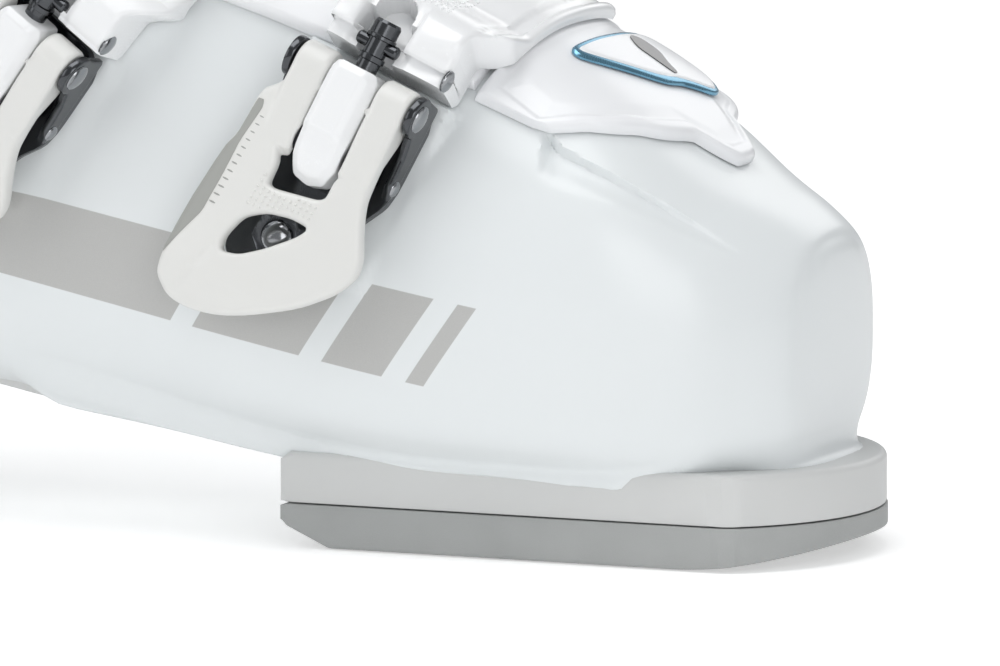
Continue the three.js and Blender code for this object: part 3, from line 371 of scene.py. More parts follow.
# For each turn t, the first section at which the form rises over an edge drawn in X and Z
def crossing(tValues, edgeX, edgeZ, low, high, steps=600):
    s = np.linspace(low, high, steps)[:, None]
    points = formPoint(s, tValues[None, :])
    over = points[..., 2] - np.interp(points[..., 0], edgeX, edgeZ) > 0
    return s[np.argmax(over, axis=0), 0]


# Meshes
def gridFaces(rows, columns, closed, start=0, flip=False):
    i, j = np.meshgrid(np.arange(rows - 1), np.arange(columns if closed else columns - 1), indexing="ij")
    k = (j + 1) % columns
    quads = np.stack([i * columns + j, i * columns + k, (i + 1) * columns + k, (i + 1) * columns + j], -1)
    quads = quads.reshape(-1, 4) + start
    return quads[:, ::-1] if flip else quads


def addObject(name, mesh, material, body, angle=35.0):
    mesh.materials.clear()
    mesh.materials.append(material.data)
    mesh.polygons.foreach_set("use_smooth", [True] * len(mesh.polygons))
    mesh.set_sharp_from_angle(angle=math.radians(angle))
    piece = bpy.data.objects.new(name, mesh)
    scene.collection.objects.link(piece)
    if body:
        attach(piece, body)
    return piece


def meshFrom(name, points, faces, uv=None):
    mesh = bpy.data.meshes.new(name)
    mesh.from_pydata((np.asarray(points) / 1000).tolist(), [], [list(f) for f in faces])
    if uv is not None:
        layer = mesh.uv_layers.new(name="cloth")
        index = np.zeros(len(mesh.loops), dtype=np.int32)
        mesh.loops.foreach_get("vertex_index", index)
        layer.data.foreach_set("uv", (np.asarray(uv)[index] / 1000).ravel())
    mesh.update()
    return mesh


def arcSpan(points, axis):
    step = np.linalg.norm(np.diff(points, axis=axis), axis=-1)
    return np.insert(np.cumsum(step, axis=axis), 0, 0, axis=axis)


# A closed sheet between two grids of points
def sheetMesh(name, outer, inner, closed=False):
    rows, columns = outer.shape[:2]
    half = rows * columns
    faces = [gridFaces(rows, columns, closed), gridFaces(rows, columns, closed, half, True)]
    rims = []
    for row, flip in ((0, False), (rows - 1, True)):
        j = np.arange(columns if closed else columns - 1)
        a, b = row * columns + j, row * columns + (j + 1) % columns
        quad = np.stack([b, a, half + a, half + b], -1)
        rims.append(quad[:, ::-1] if flip else quad)
    if not closed:
        for column, flip in ((0, True), (columns - 1, False)):
            i = np.arange(rows - 1)
            a, b = i * columns + column, (i + 1) * columns + column
            quad = np.stack([b, a, half + a, half + b], -1)
            rims.append(quad[:, ::-1] if flip else quad)
    uv = np.stack([arcSpan(outer, 1), arcSpan(outer, 0)], -1).reshape(-1, 2)
    points = np.concatenate([outer.reshape(-1, 3), inner.reshape(-1, 3)])
    mesh = meshFrom(name, points, np.concatenate(faces + rims), np.concatenate([uv, uv]))
    bm = bmesh.new()
    bm.from_mesh(mesh)
    bmesh.ops.remove_doubles(bm, verts=bm.verts, dist=1e-7)
    bmesh.ops.recalc_face_normals(bm, faces=bm.faces)
    bm.to_mesh(mesh)
    bm.free()
    return mesh


# 0 to 1 with the samples crowded towards both ends
def eased(count, dense=0.5):
    u = np.linspace(0, 1, count)
    return u + dense * -np.sin(2 * np.pi * u) / (2 * np.pi) * 1.9


def roundOver(distance, radius):
    d = np.clip(distance / radius, 0, 1)
    return np.sqrt(np.clip(1 - (1 - d) ** 2, 0, 1))


def smooth(x, low, high):
    f = np.clip((x - low) / (high - low), 0, 1)
    return f * f * (3 - 2 * f)


print("stage: form ready")

# Buckle frames, read from the joints
seatNames = ("forefoot", "instep", "lower_cuff", "upper_cuff")
jointOf = {j["name"]: j for j in frame["joints"]}
seats = {}
for seat in seatNames:
    swing, reach = jointOf[seat + "_lever_swing"], jointOf[seat + "_hook_reach"]
    v, u = -np.array(swing["axis"], float), np.array(reach["axis"], float)
    seats[seat] = {"pivot": np.array(swing["pos_m"]) * 1000, "v": v, "u": u, "n": np.cross(v, u),
                   "host": "shell" if seat in seatNames[:2] else "cuff"}


def local(seat, points):
    f = seats[seat]
    return (points - f["pivot"]) @ np.stack([f["v"], f["u"], f["n"]], 1)


def toWorld(seat, points):
    f = seats[seat]
    return f["pivot"] + np.asarray(points, float) @ np.stack([f["v"], f["u"], f["n"]])


boss = {"half": 17.2, "back": -35.5, "front": 5.4, "level": -9.32, "soft": 1.1}


# Draws the skin to the flat that the buckle is riveted to
def flatten(seat, points):
    q = local(seat, points)
    edge = np.minimum(boss["half"] - np.abs(q[..., 0]),
                      np.minimum(q[..., 1] - boss["back"], boss["front"] - q[..., 1]))
    share = smooth(edge, 0.0, boss["soft"]) * (np.abs(q[..., 2] - boss["level"]) < 9)
    return points + seats[seat]["n"] * ((boss["level"] - q[..., 2]) * share)[..., None]


# Lower shell
shell = {"rows": 330, "columns": 236}
rimX, rimZ = (-270, -188, -150, -120, -91, -60), (128, 128, 133, 148, 170, 215)


# Turns round the boot, closer together on the lateral flank and the instep
def turns(count):
    t = np.linspace(0, 1, 2001)[:-1]
    weight = 1 + 1.5 * np.exp(-((t - 0.36) / 0.12) ** 2)
    place = np.cumsum(weight) / weight.sum()
    return np.interp(np.linspace(0, 1, count + 1)[:-1], np.insert(place, 0, 0),
                     np.insert(t + 1 / 2000, 0, 0))


tShell = turns(shell["columns"])
rimS = crossing(tShell, rimX, rimZ, 9.0, 20.0)
early = np.concatenate([np.linspace(0.02, 2, 30)[:-1], np.linspace(2, 9, 230)[:-1]])
late = np.linspace(0, 1, shell["rows"] - len(early))
sShell = np.concatenate([np.repeat(early[:, None], len(tShell), 1), 9 + (rimS - 9)[None] * late[:, None]])
tGrid = np.broadcast_to(tShell, sShell.shape)
normals = formNormal(sShell, tGrid)
outer = formPoint(sShell, tGrid)

crease = {"depth": 2.4, "width": 7.0, "line": ((1.0, 84.6), (4.1, 82.0), (9.1, 79.8), (16.2, 76.3),
                                               (23.6, 71.9), (30.8, 67.0), (38.0, 62.0))}
creaseX, creaseZ = zip(*crease["line"])
below = np.interp(outer[..., 0], creaseX, creaseZ) - outer[..., 2]
fade = np.clip((creaseX[-1] - outer[..., 0]) / (creaseX[-1] - creaseX[0]), 0, 1)
fade = fade * smooth(outer[..., 0], creaseX[0] - 1.2, creaseX[0] + 0.6) * (outer[..., 1] < 0)
valley = np.where(below > 0, 1 - smooth(below, 0.3, crease["width"] * (0.15 + fade)),
                  1 - smooth(-below, 0, 0.45))
outer = outer - normals * (crease["depth"] * fade**0.8 * valley)[..., None]

flank = {"rise": 11.0, "half": 34.85, "rear": -122.0,
         "foot": ((-125, 28.0), (-116, 26.3), (-95, 22.6), (-84, 20.3), (-63, 17.0), (-50, 15.4),
                  (40, 15.4))}
foot = np.interp(outer[..., 0], *zip(*flank["foot"]))
share = smooth(foot + flank["rise"] - outer[..., 2], 0, flank["rise"] - 1.0)
share = share * smooth(outer[..., 0], flank["rear"],
                       flank["rear"] + 18) * (1 - smooth(outer[..., 0], 12, 36))
wanted = np.minimum(np.abs(outer[..., 1]) * flank["half"] / 26.0,
                    np.maximum(flank["half"], np.abs(outer[..., 1])))
outer[..., 1] += np.sign(outer[..., 1]) * np.clip(wanted - np.abs(outer[..., 1]), 0, None) * share
lowered = np.minimum(outer[..., 2], foot) * share + outer[..., 2] * (1 - share)
outer[..., 2] = np.where(np.abs(outer[..., 1]) < 33, lowered,
                         np.maximum(outer[..., 2], foot * (share > 0.02) * share))

flare = {"top": 24.6, "low": 19.0, "reach": 4.6}
f = np.clip((flare["top"] - outer[..., 2]) / (flare["top"] - flare["low"]), 0, 1)
plan = normals * np.array([1.0, 1.0, 0.0])
plan = plan / np.maximum(np.linalg.norm(plan, axis=-1, keepdims=True), 1e-6)
toeShare = smooth(outer[..., 0], 36, 45)
outer = outer + plan * (flare["reach"] * (1 - np.sqrt(1 - f * f * 0.999)) * toeShare)[..., None]
for seat in seatNames[:2]:
    outer = flatten(seat, outer)
rimDistance = np.linalg.norm(outer - outer[-1:], axis=-1)
outer = outer - normals * (1.6 * (1 - roundOver(rimDistance, 1.6)))[..., None]
lipS = rimS[None] - (rimS - 9)[None] * np.linspace(0, 0.22, 14)[:, None]
inner = formPoint(lipS, np.broadcast_to(tShell, lipS.shape), wall["shell"])
points = np.concatenate([outer, inner])
noseTip = points[0].mean(axis=0)
noseFan = [[points[..., 0].size, (j + 1) % len(tShell), j] for j in range(len(tShell))]
shellMesh = meshFrom("lowerShell", np.vstack([points.reshape(-1, 3), noseTip]),
                     list(gridFaces(len(points), len(tShell), True)) + noseFan)
lowerShell = addObject("lowerShell", shellMesh, shellWhite, "shell", 50)
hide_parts("lower_shell")
print("stage: lower shell made")

# Lugs and pads under the shell
sole = {"toeTip": 56.5, "toeLength": 113.0, "heelTip": -238.5, "heelLength": 70.0, "half": 34.5,
        "toeRadius": 41.5, "heelRadius": 36.0, "toePad": 8.0, "heelPad": 10.0, "toeLug": 19.0,
        "heelLug": 30.0,
        "rocker": 4.4, "rockerLength": 30.0, "chamfer": 4.6}
toeScrews = ((34, -17), (34, 17), (-40, -22), (-40, 22))
heelScrews = ((sole["heelTip"] + 22, -14), (sole["heelTip"] + 22, 14), (sole["heelTip"] + 54, 0))


# A slab with straight sides and one round end; low and high give its faces at x, y and edge distance
def slab(tip, length, radius, direction, low, high, rows=170, columns=110, shrink=0.0):
    half, r = sole["half"] - shrink, radius - shrink
    end = tip - direction * shrink
    centre = end - direction * r
    x = end - direction * (length - shrink) * (1 - np.sin(np.linspace(0, 1, rows) * np.pi / 2) ** 0.9)
    arc = np.sqrt(np.clip(r**2 - np.maximum((x - centre) * direction, 0) ** 2, 0, None))
    side = np.minimum(half, arc) - np.clip(2.6 - np.abs(half - arc), 0, None) ** 2 / 10.4
    side = np.maximum(side, 0)
    w = np.linspace(-1, 1, columns)
    w = np.sign(w) * (1 - (1 - np.abs(w)) ** 1.25)
    y = side[:, None] * w[None]
    x = np.repeat(x[:, None], columns, 1)
    round_ = r - np.hypot(np.maximum((x - centre) * direction, 0), y)
    ahead = (x - centre) * direction > 0
    edge = np.minimum(np.where(ahead, np.minimum(round_, half - np.abs(y)), half - np.abs(y)),
                      (x - (end - direction * (length - shrink))) * direction)
    edge = np.maximum(edge, 0)
    top = np.stack([x, y, high(x, y, edge)], -1)
    bottom = np.stack([x, y, low(x, y, edge)], -1)
    return top, bottom


def padLow(tip, length, direction, screws, thickness):
    def low(x, y, edge):
        ahead = np.clip((x - (tip - direction * sole["rockerLength"])) * direction, 0, None)
        behind = np.clip((tip - direction * length - x) * -direction, 0, None)
        z = sole["rocker"] * (ahead / sole["rockerLength"]) ** 1.7
        z = np.maximum(z, sole["chamfer"] * (1 - behind / (sole["chamfer"] * 2.2)))
        slanted = np.abs(((x * direction + np.abs(y) * 0.55) % 9.0) - 4.5)
        middle = np.abs(y) < 2.0
        tread = smooth(slanted, 3.2, 3.6) * (edge > 5) + middle * (edge > 5)
        z = z + 1.4 * np.clip(tread, 0, 1)
        for sx, sy in screws:
            z = np.where(np.hypot(x - sx, y - sy) < 5.0, thickness - 2.6, z)
        return z + 0.9 * (1 - roundOver(edge, 0.9))
    return low


def topFace(level, bevel):
    return lambda x, y, edge: level - bevel * (1 - roundOver(edge, bevel))


def slabPiece(name, material, grids, replaced=None):
    piece = addObject(name, sheetMesh(name, *grids), material, "shell", 40)
    if replaced:
        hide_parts(replaced)
    return piece


slabPiece("toePad", greyRubber, slab(
    sole["toeTip"], sole["toeLength"], sole["toeRadius"], 1,
    padLow(sole["toeTip"], sole["toeLength"], 1, toeScrews, sole["toePad"]),
    topFace(sole["toePad"] + 0.6, 0.3), 260, 190), "toe_sole_pad")
slabPiece("heelPad", greyRubber, slab(
    sole["heelTip"], sole["heelLength"], sole["heelRadius"], -1,
    padLow(sole["heelTip"], sole["heelLength"], -1, heelScrews, sole["heelPad"]),
    topFace(sole["heelPad"] - 0.3, 0.3), 190, 190), "heel_sole_pad")
slabPiece("toeLug", lugWhite, slab(
    sole["toeTip"], sole["toeLength"], sole["toeRadius"], 1,
    lambda x, y, edge: sole["toePad"] + 0.9 + 0.3 * (1 - roundOver(edge, 0.3)),
    topFace(sole["toeLug"], 1.4), shrink=0.25))
slabPiece("heelLug", lugWhite, slab(
    sole["heelTip"], sole["heelLength"], sole["heelRadius"], -1,
    lambda x, y, edge: sole["heelPad"] + 0.3 * (1 - roundOver(edge, 0.3)),
    topFace(sole["heelLug"], 1.6), shrink=0.25))


# The arch between the two lugs, with a rib along each side
def waistBlock():
    x0, x1 = sole["heelTip"] + sole["heelLength"] - 3, sole["toeTip"] - sole["toeLength"] + 3
    x = np.linspace(x0, x1, 90)[:, None] * np.ones((1, 60))
    y = np.linspace(-20, 20, 60)[None] * np.ones((90, 1))
    arch = np.sin((x - x0) / (x1 - x0) * np.pi)
    rib = 1 - smooth(np.abs(np.abs(y) - 17.5), 1.6, 2.6)
    cross = (1 - smooth(np.abs((x - x0) % 16.0 - 8.0), 0.8, 1.4)) * 0.7
    low = np.interp(x, *zip(*flank["foot"])) + 1.0 - 2.0 * np.maximum(rib, cross) * arch
    return np.stack([x, y, low + 6], -1), np.stack([x, y, low], -1)


slabPiece("soleWaist", lugWhite, waistBlock())
print("stage: sole made")

# Flaps over the instep
flap = {"air": 0.3, "groove": 0.35, "seam": 0.9}
toeEdge = ((-14.3, 90.6), (-11.6, 88.6), (-4.8, 86.4), (1.2, 84.6), (7.7, 84.8), (15.6, 83.7), (21.3, 81.5),
           (26.2, 78.1), (27.7, 76.9), (28.3, 76.0), (34.0, 73.0))
toeBack = ((91.2, -14.3), (98.3, -11.4), (103.0, -8.1), (106.0, -6.6))
overEdge = ((-112, 127), (-100, 121.5), (-85, 115.2), (-69, 109.1), (-57.7, 105.2), (-45.1, 100.4),
            (-28.6, 95.1), (-14.0, 91.0), (0, 88))


# For each section s, the lateral turn at which the form crosses an edge drawn in X and Z
def turnAt(s, edge):
    t = np.linspace(0.25, 0.5, 500)[None]
    p = formPoint(s[:, None], t)
    over = p[..., 2] - np.interp(p[..., 0], [e[0] for e in edge], [e[1] for e in edge]) > 0
    return t[0, np.argmax(over, axis=1)]


# For each turn t, the section at which the form passes behind an edge drawn in Z and X
def backAt(t, edge, low, high):
    s = np.linspace(low, high, 800)[:, None]
    p = formPoint(s, t[None])
    return s[np.argmax(p[..., 0] < np.interp(p[..., 2], [e[0] for e in edge], [e[1] for e in edge]),
                       axis=0), 0]


# Distance in millimetres from each grid point to the nearest of the sheet's named sides
def edgeDistance(points, sides):
    spans = []
    if "left" in sides:
        spans.append(arcSpan(points, 1))
    if "right" in sides:
        spans.append(arcSpan(points[:, ::-1], 1)[:, ::-1])
    if "front" in sides:
        spans.append(arcSpan(points, 0))
    if "back" in sides:
        spans.append(arcSpan(points[::-1], 0)[::-1])
    spans = [s for s in spans]
    near = spans[0]
    for other in spans[1:]:
        near = np.minimum(near, other)
        corner = np.clip(4 - near, 0, None) * 0
        near = near + corner
    return near


def flapSheet(s, t, low, thick, sides, lip=1.9, extra=None):
    middle = skin(s, t, low)
    distance = edgeDistance(middle, sides)
    height = low + 0.5 + (thick - 0.5) * roundOver(distance, lip)
    if extra is not None:
        height = height + extra(distance)
    return skin(s, t, height), skin(s, t, low)


def lipGroove(distance):
    return -flap["groove"] * smooth(distance, 3.0, 4.4) * (1 - smooth(distance, 4.6, 9.0))


w = eased(150, 0.45)
tEnds = turnAt(np.array([6.95]), toeEdge)[0]
tToe = tEnds + (1 - 2 * tEnds) * w
folded = np.minimum(tToe, 1 - tToe)
frontS = crossing(np.maximum(folded, tEnds + 0.0005), [e[0] for e in toeEdge], [e[1] for e in toeEdge],
                  4.2, 7.2, 1500)
kernel = np.ones(5) / 5
frontS = np.convolve(np.pad(frontS, 2, mode="edge"), kernel, mode="valid")
backS = backAt(folded, toeBack, 6.2, 8.2)
backS = np.convolve(np.pad(backS, 2, mode="edge"), kernel, mode="valid")
frontS = np.minimum(frontS, backS - 0.2)
rows = eased(110, 0.45)[:, None]
s = frontS[None] + (backS - frontS)[None] * rows
t = np.broadcast_to(tToe, s.shape)
toeFlap = addObject("toeFlap", sheetMesh("toeFlap", *flapSheet(
    s, t, flap["air"], wall["flap"], ("left", "right", "front", "back"), extra=lipGroove)), flapWhite,
                    "shell", 45)
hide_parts("toe_flap")

w = eased(170, 0.45)
sBase = np.linspace(7.16, 11.35, 220)
left = turnAt(sBase, overEdge)
left = np.convolve(np.pad(left, 6, mode="edge"), np.ones(13) / 13, mode="valid")
right = 1 - left + 0.012
s = np.repeat(sBase[:, None], len(w), 1)
t = left[:, None] + (right - left)[:, None] * w[None]
frontLine = backAt(np.minimum(t[0], 1 - t[0]), toeBack, 6.2, 8.4) + flap["seam"] / 25.0
shift = (frontLine - s[0])[None] * (1 - (s - 7.16) / (11.35 - 7.16)) ** 3
s = s + shift
overFlap = addObject("instepFlap", sheetMesh("instepFlap", *flapSheet(
    s, t, flap["air"], wall["flap"], ("left", "right", "front"))), flapWhite,
                     "shell", 45)
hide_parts("instep_flap")
print("stage: flaps made")


# Solids for the small parts
# Cuts the corners of a closed outline
def eased2(points, cut=0.22, passes=2):
    p = np.array(points, float)
    for _ in range(passes):
        q = np.roll(p, -1, 0)
        p = np.stack([(1 - cut) * p + cut * q, cut * p + (1 - cut) * q], 1).reshape(-1, 2)
    return p


def respaced(points, step):
    p = np.vstack([points, points[:1]])
    span = np.insert(np.cumsum(np.linalg.norm(np.diff(p, axis=0), axis=1)), 0, 0)
    count = max(6, int(span[-1] / step))
    at = np.linspace(0, span[-1], count + 1)[:-1]
    return np.stack([np.interp(at, span, p[:, 0]), np.interp(at, span, p[:, 1])], 1)


# Distance to the nearest of the closed loops, positive between the first and the others
def reachOf(points, loops):
    near = np.full(len(points), 1e9)
    inside = np.zeros(len(points), bool)
    for loop in loops:
        a, b = loop, np.roll(loop, -1, 0)
        ab = b - a
        rel = points[:, None] - a[None]
        f = np.clip((rel * ab).sum(-1) / np.maximum((ab * ab).sum(-1), 1e-12), 0, 1)
        near = np.minimum(near, np.linalg.norm(rel - f[..., None] * ab, axis=-1).min(1))
        rise = (a[:, 1] > points[:, None, 1]) != (b[:, 1] > points[:, None, 1])
        cut = a[:, 0] + (points[:, None, 1] - a[:, 1]) * ab[:, 0] / np.where(ab[:, 1] == 0, 1e-12, ab[:, 1])
        inside ^= (rise & (points[:, None, 0] < cut)).sum(1) % 2 == 1
    return np.where(inside, near, -near)


# A closed plate over an outline; top and bottom give its heights at a, b and distance from the edge
def plateSolid(outline, top, bottom, holes=(), step=0.8, edge=(0.3, 0.7, 1.2)):
    loops = [respaced(np.asarray(loop, float), step * 0.8) for loop in (outline, *holes)]
    lo, hi = loops[0].min(0), loops[0].max(0)
    grid = np.stack(np.meshgrid(np.arange(lo[0], hi[0], step), np.arange(lo[1], hi[1], step)),
                    -1).reshape(-1, 2)
    inner = [grid[reachOf(grid, loops) > edge[-1] + step * 0.5]]
    for loop in loops:
        along = np.roll(loop, -1, 0) - np.roll(loop, 1, 0)
        normal = np.stack([-along[:, 1], along[:, 0]], 1) / np.linalg.norm(along, axis=1)[:, None]
        for row in edge:
            for side in (-1, 1):
                moved = loop + normal * side * row
                inner.append(moved[reachOf(moved, loops) > row * 0.93])
    points, edges = np.vstack(loops), []
    first = 0
    for loop in loops:
        edges += [(first + i, first + (i + 1) % len(loop)) for i in range(len(loop))]
        first += len(loop)
    points = np.vstack([points, *inner])
    cut = delaunay_2d_cdt([Vector(p) for p in points], edges, [], 0, 1e-4)
    flat = np.array([tuple(p) for p in cut[0]])
    tris = np.array(cut[2])
    tris = tris[reachOf(flat[tris].mean(1), loops) > 1e-5]
    used = np.unique(tris)
    flat, tris = flat[used], np.searchsorted(used, tris)
    a, b, c = (flat[tris[:, k]] for k in range(3))
    turned_ = (b - a)[:, 0] * (c - a)[:, 1] - (b - a)[:, 1] * (c - a)[:, 0] < 0
    tris[turned_] = tris[turned_][:, ::-1]
    distance = np.maximum(reachOf(flat, loops), 0)
    distance[distance < 2e-3] = 0
    high = top(flat[:, 0], flat[:, 1], distance)
    low = bottom(flat[:, 0], flat[:, 1], distance)
    count = len(flat)
    verts = np.vstack([np.column_stack([flat, high]), np.column_stack([flat, low])])
    sides = np.concatenate([tris[:, [0, 1]], tris[:, [1, 2]], tris[:, [2, 0]]])
    known = {(int(p), int(q)) for p, q in sides}
    border = [(p, q) for p, q in known if (q, p) not in known]
    faces = [list(t) for t in tris] + [[t[2] + count, t[1] + count, t[0] + count] for t in tris.tolist()]
    faces += [[p, p + count, q + count, q] for p, q in border]
    return verts, faces


# The solid with its axes in another order; an odd order would turn it inside out, so faces flip
def turnedAxes(solid, order):
    verts, faces = solid
    odd = order in ((0, 2, 1), (2, 1, 0), (1, 0, 2))
    return verts[:, list(order)], [f[::-1] for f in faces] if odd else faces


# An outline in u and n carried from v0 to v1, its two ends rounded over
def across(outline, v0, v1, bevel=0.6, step=0.6):
    solid = plateSolid(outline, lambda a, b, d: v1 - bevel * (1 - roundOver(d, bevel)),
                       lambda a, b, d: v0 + bevel * (1 - roundOver(d, bevel)), step=step,
                       edge=(bevel * 0.3, bevel * 0.65, bevel))
    return turnedAxes(solid, (2, 0, 1))


# A closed solid of revolution from (height, radius) pairs along an axis
def lathe(profile, centre, axis, segments=32):
    axis = np.array(axis, float) / np.linalg.norm(axis)
    side = np.cross(axis, (0, 0, 1) if abs(axis[2]) < 0.9 else (1, 0, 0))
    side /= np.linalg.norm(side)
    other = np.cross(axis, side)
    angle = np.linspace(0, 2 * np.pi, segments + 1)[:-1]
    ring = np.cos(angle)[:, None] * side + np.sin(angle)[:, None] * other
    verts = np.vstack([np.array(centre) + axis * h + ring * max(r, 1e-3) for h, r in profile])
    rows = len(profile)
    faces = gridFaces(rows, segments, True).tolist()
    faces += [list(range(segments))[::-1], [(rows - 1) * segments + i for i in range(segments)]]
    return verts, faces


def joined(solids):
    verts, faces, first = [], [], 0
    for v, f in solids:
        verts.append(v)
        faces += [[i + first for i in face] for face in f]
        first += len(v)
    return np.vstack(verts), faces


# One skin round overlapping solids, as a moulded part has, smoothed a little
def fused(solids, voxel=0.38, rounds=3):
    mesh = meshFrom("fused", *joined(solids))
    holder = bpy.data.objects.new("fused", mesh)
    scene.collection.objects.link(holder)
    remesh = holder.modifiers.new("skin", "REMESH")
    remesh.mode = "VOXEL"
    remesh.voxel_size = voxel / 1000
    even = holder.modifiers.new("even", "SMOOTH")
    even.factor, even.iterations = 0.5, rounds
    made = bpy.data.meshes.new_from_object(holder.evaluated_get(bpy.context.evaluated_depsgraph_get()))
    verts = np.zeros(len(made.vertices) * 3)
    made.vertices.foreach_get("co", verts)
    faces = [list(p.vertices) for p in made.polygons]
    bpy.data.objects.remove(holder)
    bpy.data.meshes.remove(mesh)
    bpy.data.meshes.remove(made)
    return verts.reshape(-1, 3) * 1000, faces


# Sets the same small part on all four buckles
def onSeats(name, solid, material, part, angle=35.0, replaced=None):
    for seat in seatNames:
        body = seats[seat]["host"] if part == "host" else seat + "_" + part
        verts, faces = solid
        piece = addObject(name + "_" + seat, meshFrom(name, toWorld(seat, verts), faces), material, body,
                          angle)
        if replaced:
            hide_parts(seat + "_" + replaced)


# Levers
lever = {"thick": 3.4, "edge": 1.3, "arms": (5.6, 12.8), "knuckle": 4.5, "crease": 0.4}
leverOutline = eased2([(-12.6, -4.0), (-13.9, -6.4), (-16.5, -8.5), (-16.9, -18.3), (-18.2, -21.5),
                       (-20.9, -39.9),
                       (-21.4, -47.2), (-21.0, -50.6), (-17.1, -53.6), (-11.8, -53.8), (-5.5, -52.3),
                       (0.6, -49.5),
                       (9.3, -44.0), (15.3, -38.0), (17.9, -33.2), (17.6, -29.6), (14.6, -23.4),
                       (12.9, -18.5),
                       (12.8, -4.0)], 0.2, 2)
leverSlot = eased2([(-5.5, -2.0), (5.5, -2.0), (5.5, -8.6), (7.6, -11.0), (7.4, -15.6), (5.6, -18.0),
                    (5.4, -22.8),
                    (-6.4, -25.2), (-6.6, -20.0), (-8.4, -16.4), (-8.4, -11.8), (-5.5, -9.0)], 0.12, 2)
leverLens = eased2([(-9.6, -40.6), (-10.0, -37.4), (-8.2, -32.6), (-4.3, -29.9), (0.7, -28.7), (5.2, -28.8),
                    (3.4, -31.6), (-1.3, -36.2), (-5.8, -39.6)], 0.16, 2)
stripOutline = eased2([(-14.6, -10.4), (-16.0, -10.6), (-16.7, -18.9), (-18.0, -22.0), (-20.6, -39.9),
                       (-21.1, -46.6),
                       (-18.6, -40.5), (-16.3, -35.4), (-15.6, -26.9), (-15.4, -19.7), (-14.2, -12.0)],
                      0.1, 1)


def leverTop(v, u):
    spine = np.interp(u, [-54, -50, -46, -40, -34, -26, -18, -10, -4],
                      [-3.4, -1.4, 0.1, 1.3, 2.1, 2.7, 3.1, 3.3, 3.5])
    crown = -0.0045 * (v + 2.5) ** 2 * np.clip(-u / 40, 0, 1)
    along = np.array([-5.8, -13.4]) / np.hypot(5.8, 13.4)
    off = (v + 11.1) * along[1] - (u + 39.6) * along[0]
    far = (v + 11.1) * along[0] + (u + 39.6) * along[1]
    groove = lever["crease"] * np.exp(-(off / 0.5) ** 2) * smooth(far, 0, 2) * (1 - smooth(far, 10, 15))
    tilt = 0.07 * np.clip(-off, -9, 9) * smooth(far, -4, 6)
    return spine + crown - groove + tilt * 0.6


def leverFace(v, u, d):
    return leverTop(v, u) - lever["edge"] * (1 - roundOver(d, lever["edge"]))


leverPlate = plateSolid(leverOutline, leverFace,
                        lambda v, u, d: leverTop(v, u) - lever["thick"] + 0.7 * (1 - roundOver(d, 0.7)),
                        [leverSlot, leverLens], 0.8, (0.25, 0.6, 1.0, 1.5))
bend = np.linspace(-1.9, 1.85, 18)
knuckle = np.stack([np.cos(bend), np.sin(bend)], 1) * lever["knuckle"]
armOutline = np.vstack([knuckle, [(-7.5, 4.0), (-13, 3.3), (-17, 3.0), (-18.5, -0.2), (-12, -0.6),
                                  (-7.0, -2.6)]])
arms = [across(armOutline, *sorted((side * lever["arms"][0], side * lever["arms"][1])),
               0.9) for side in (-1, 1)]
onSeats("leverBody", fused([leverPlate, *arms], 0.34, 2), leverWhite, "lever", 60, "lever")


def stripTop(v, u, d):
    out = np.maximum(reachOf(np.stack([v, u], 1), [respaced(leverOutline, 0.7)]), 0)
    return leverTop(v, u) - lever["edge"] * (1 - roundOver(out, lever["edge"])) + 0.1


onSeats("leverStrip", plateSolid(stripOutline, stripTop, lambda v, u, d: stripTop(v, u, d) - 1.0, (), 0.7,
                                 (0.2,)),
        stripGrey, "lever")
print("stage: levers made")

# Barrels, pins and hooks
barrel = {"chamfer": 1.5, "under": -4.9}
barrelOutline = eased2([(-5, 3.7), (5, 3.7), (5, -16.5), (3.4, -20.4), (0, -21.6), (-3.4, -20.8),
                        (-5, -16.5)], 0.1, 2)


def barrelTop(v, u, d):
    ridge = np.interp(u, [-21.6, -19, -16, -11.6, -10.4, 3.7], [0.6, 2.4, 3.5, 4.4, 5.3, 5.7])
    flank = 0.55 * np.clip(v - 2.2, 0, None) * smooth(u, -12, -10)
    return ridge - flank - barrel["chamfer"] * np.clip(1 - d / barrel["chamfer"], 0, 1) * 0.7


barrelSolid = plateSolid(barrelOutline, barrelTop, lambda v, u,
                         d: barrel["under"] + 0.8 * (1 - roundOver(d, 0.8)),
                         (), 0.7, (0.3, 0.8, 1.5))
onSeats("barrelBody", fused([barrelSolid], 0.26, 1), pearlWhite, "bail", 50, "barrel")
ribbed = [(h, 2.9 if k % 2 else 2.35) for k, h in enumerate(np.linspace(5.25, 8.1, 12))]
ribbed = [(5.2, 2.2), *ribbed, (8.2, 2.0)]
pins = [lathe(ribbed, (0, -13.6, 0.1), (side, 0, 0), 40) for side in (-1, 1)]
onSeats("bailPins", joined(pins), darkSteel, "bail", 30)

hook = {"rod": 2.25, "barAt": 9.2, "head": 3.1}
rodLine = [(-9.5, 1.9), (3.9, hook["rod"]), (5.6, hook["rod"]), (5.8, 2.7), (6.8, 2.75), (7.0, 2.35),
           (10.2, 2.4),
           (10.4, hook["head"]), (11.0, hook["head"]), (11.2, 2.8), (13.6, 2.8), (14.2, 2.4)]
barLine = [(-4.7, 0.6), (-4.5, 1.1), (-4.1, 1.35), (4.1, 1.35), (4.5, 1.1), (4.7, 0.6)]
onSeats("hookRod", joined([lathe(rodLine, (0, 0, -0.3), (0, 1, 0), 36),
                           lathe(barLine, (0, hook["barAt"], -0.3), (1, 0, 0), 28)]), darkSteel, "hook",
        30, "hook")

# Base plates, ears and rivets
plateOutline = eased2([(-14.7, 3.5), (14.7, 3.5), (14.7, -17.5), (10.5, -25), (9.0, -40), (4, -42.6),
                       (-9, -42.6),
                       (-13.2, -40), (-13.5, -25), (-14.7, -17.5)], 0.15, 2)


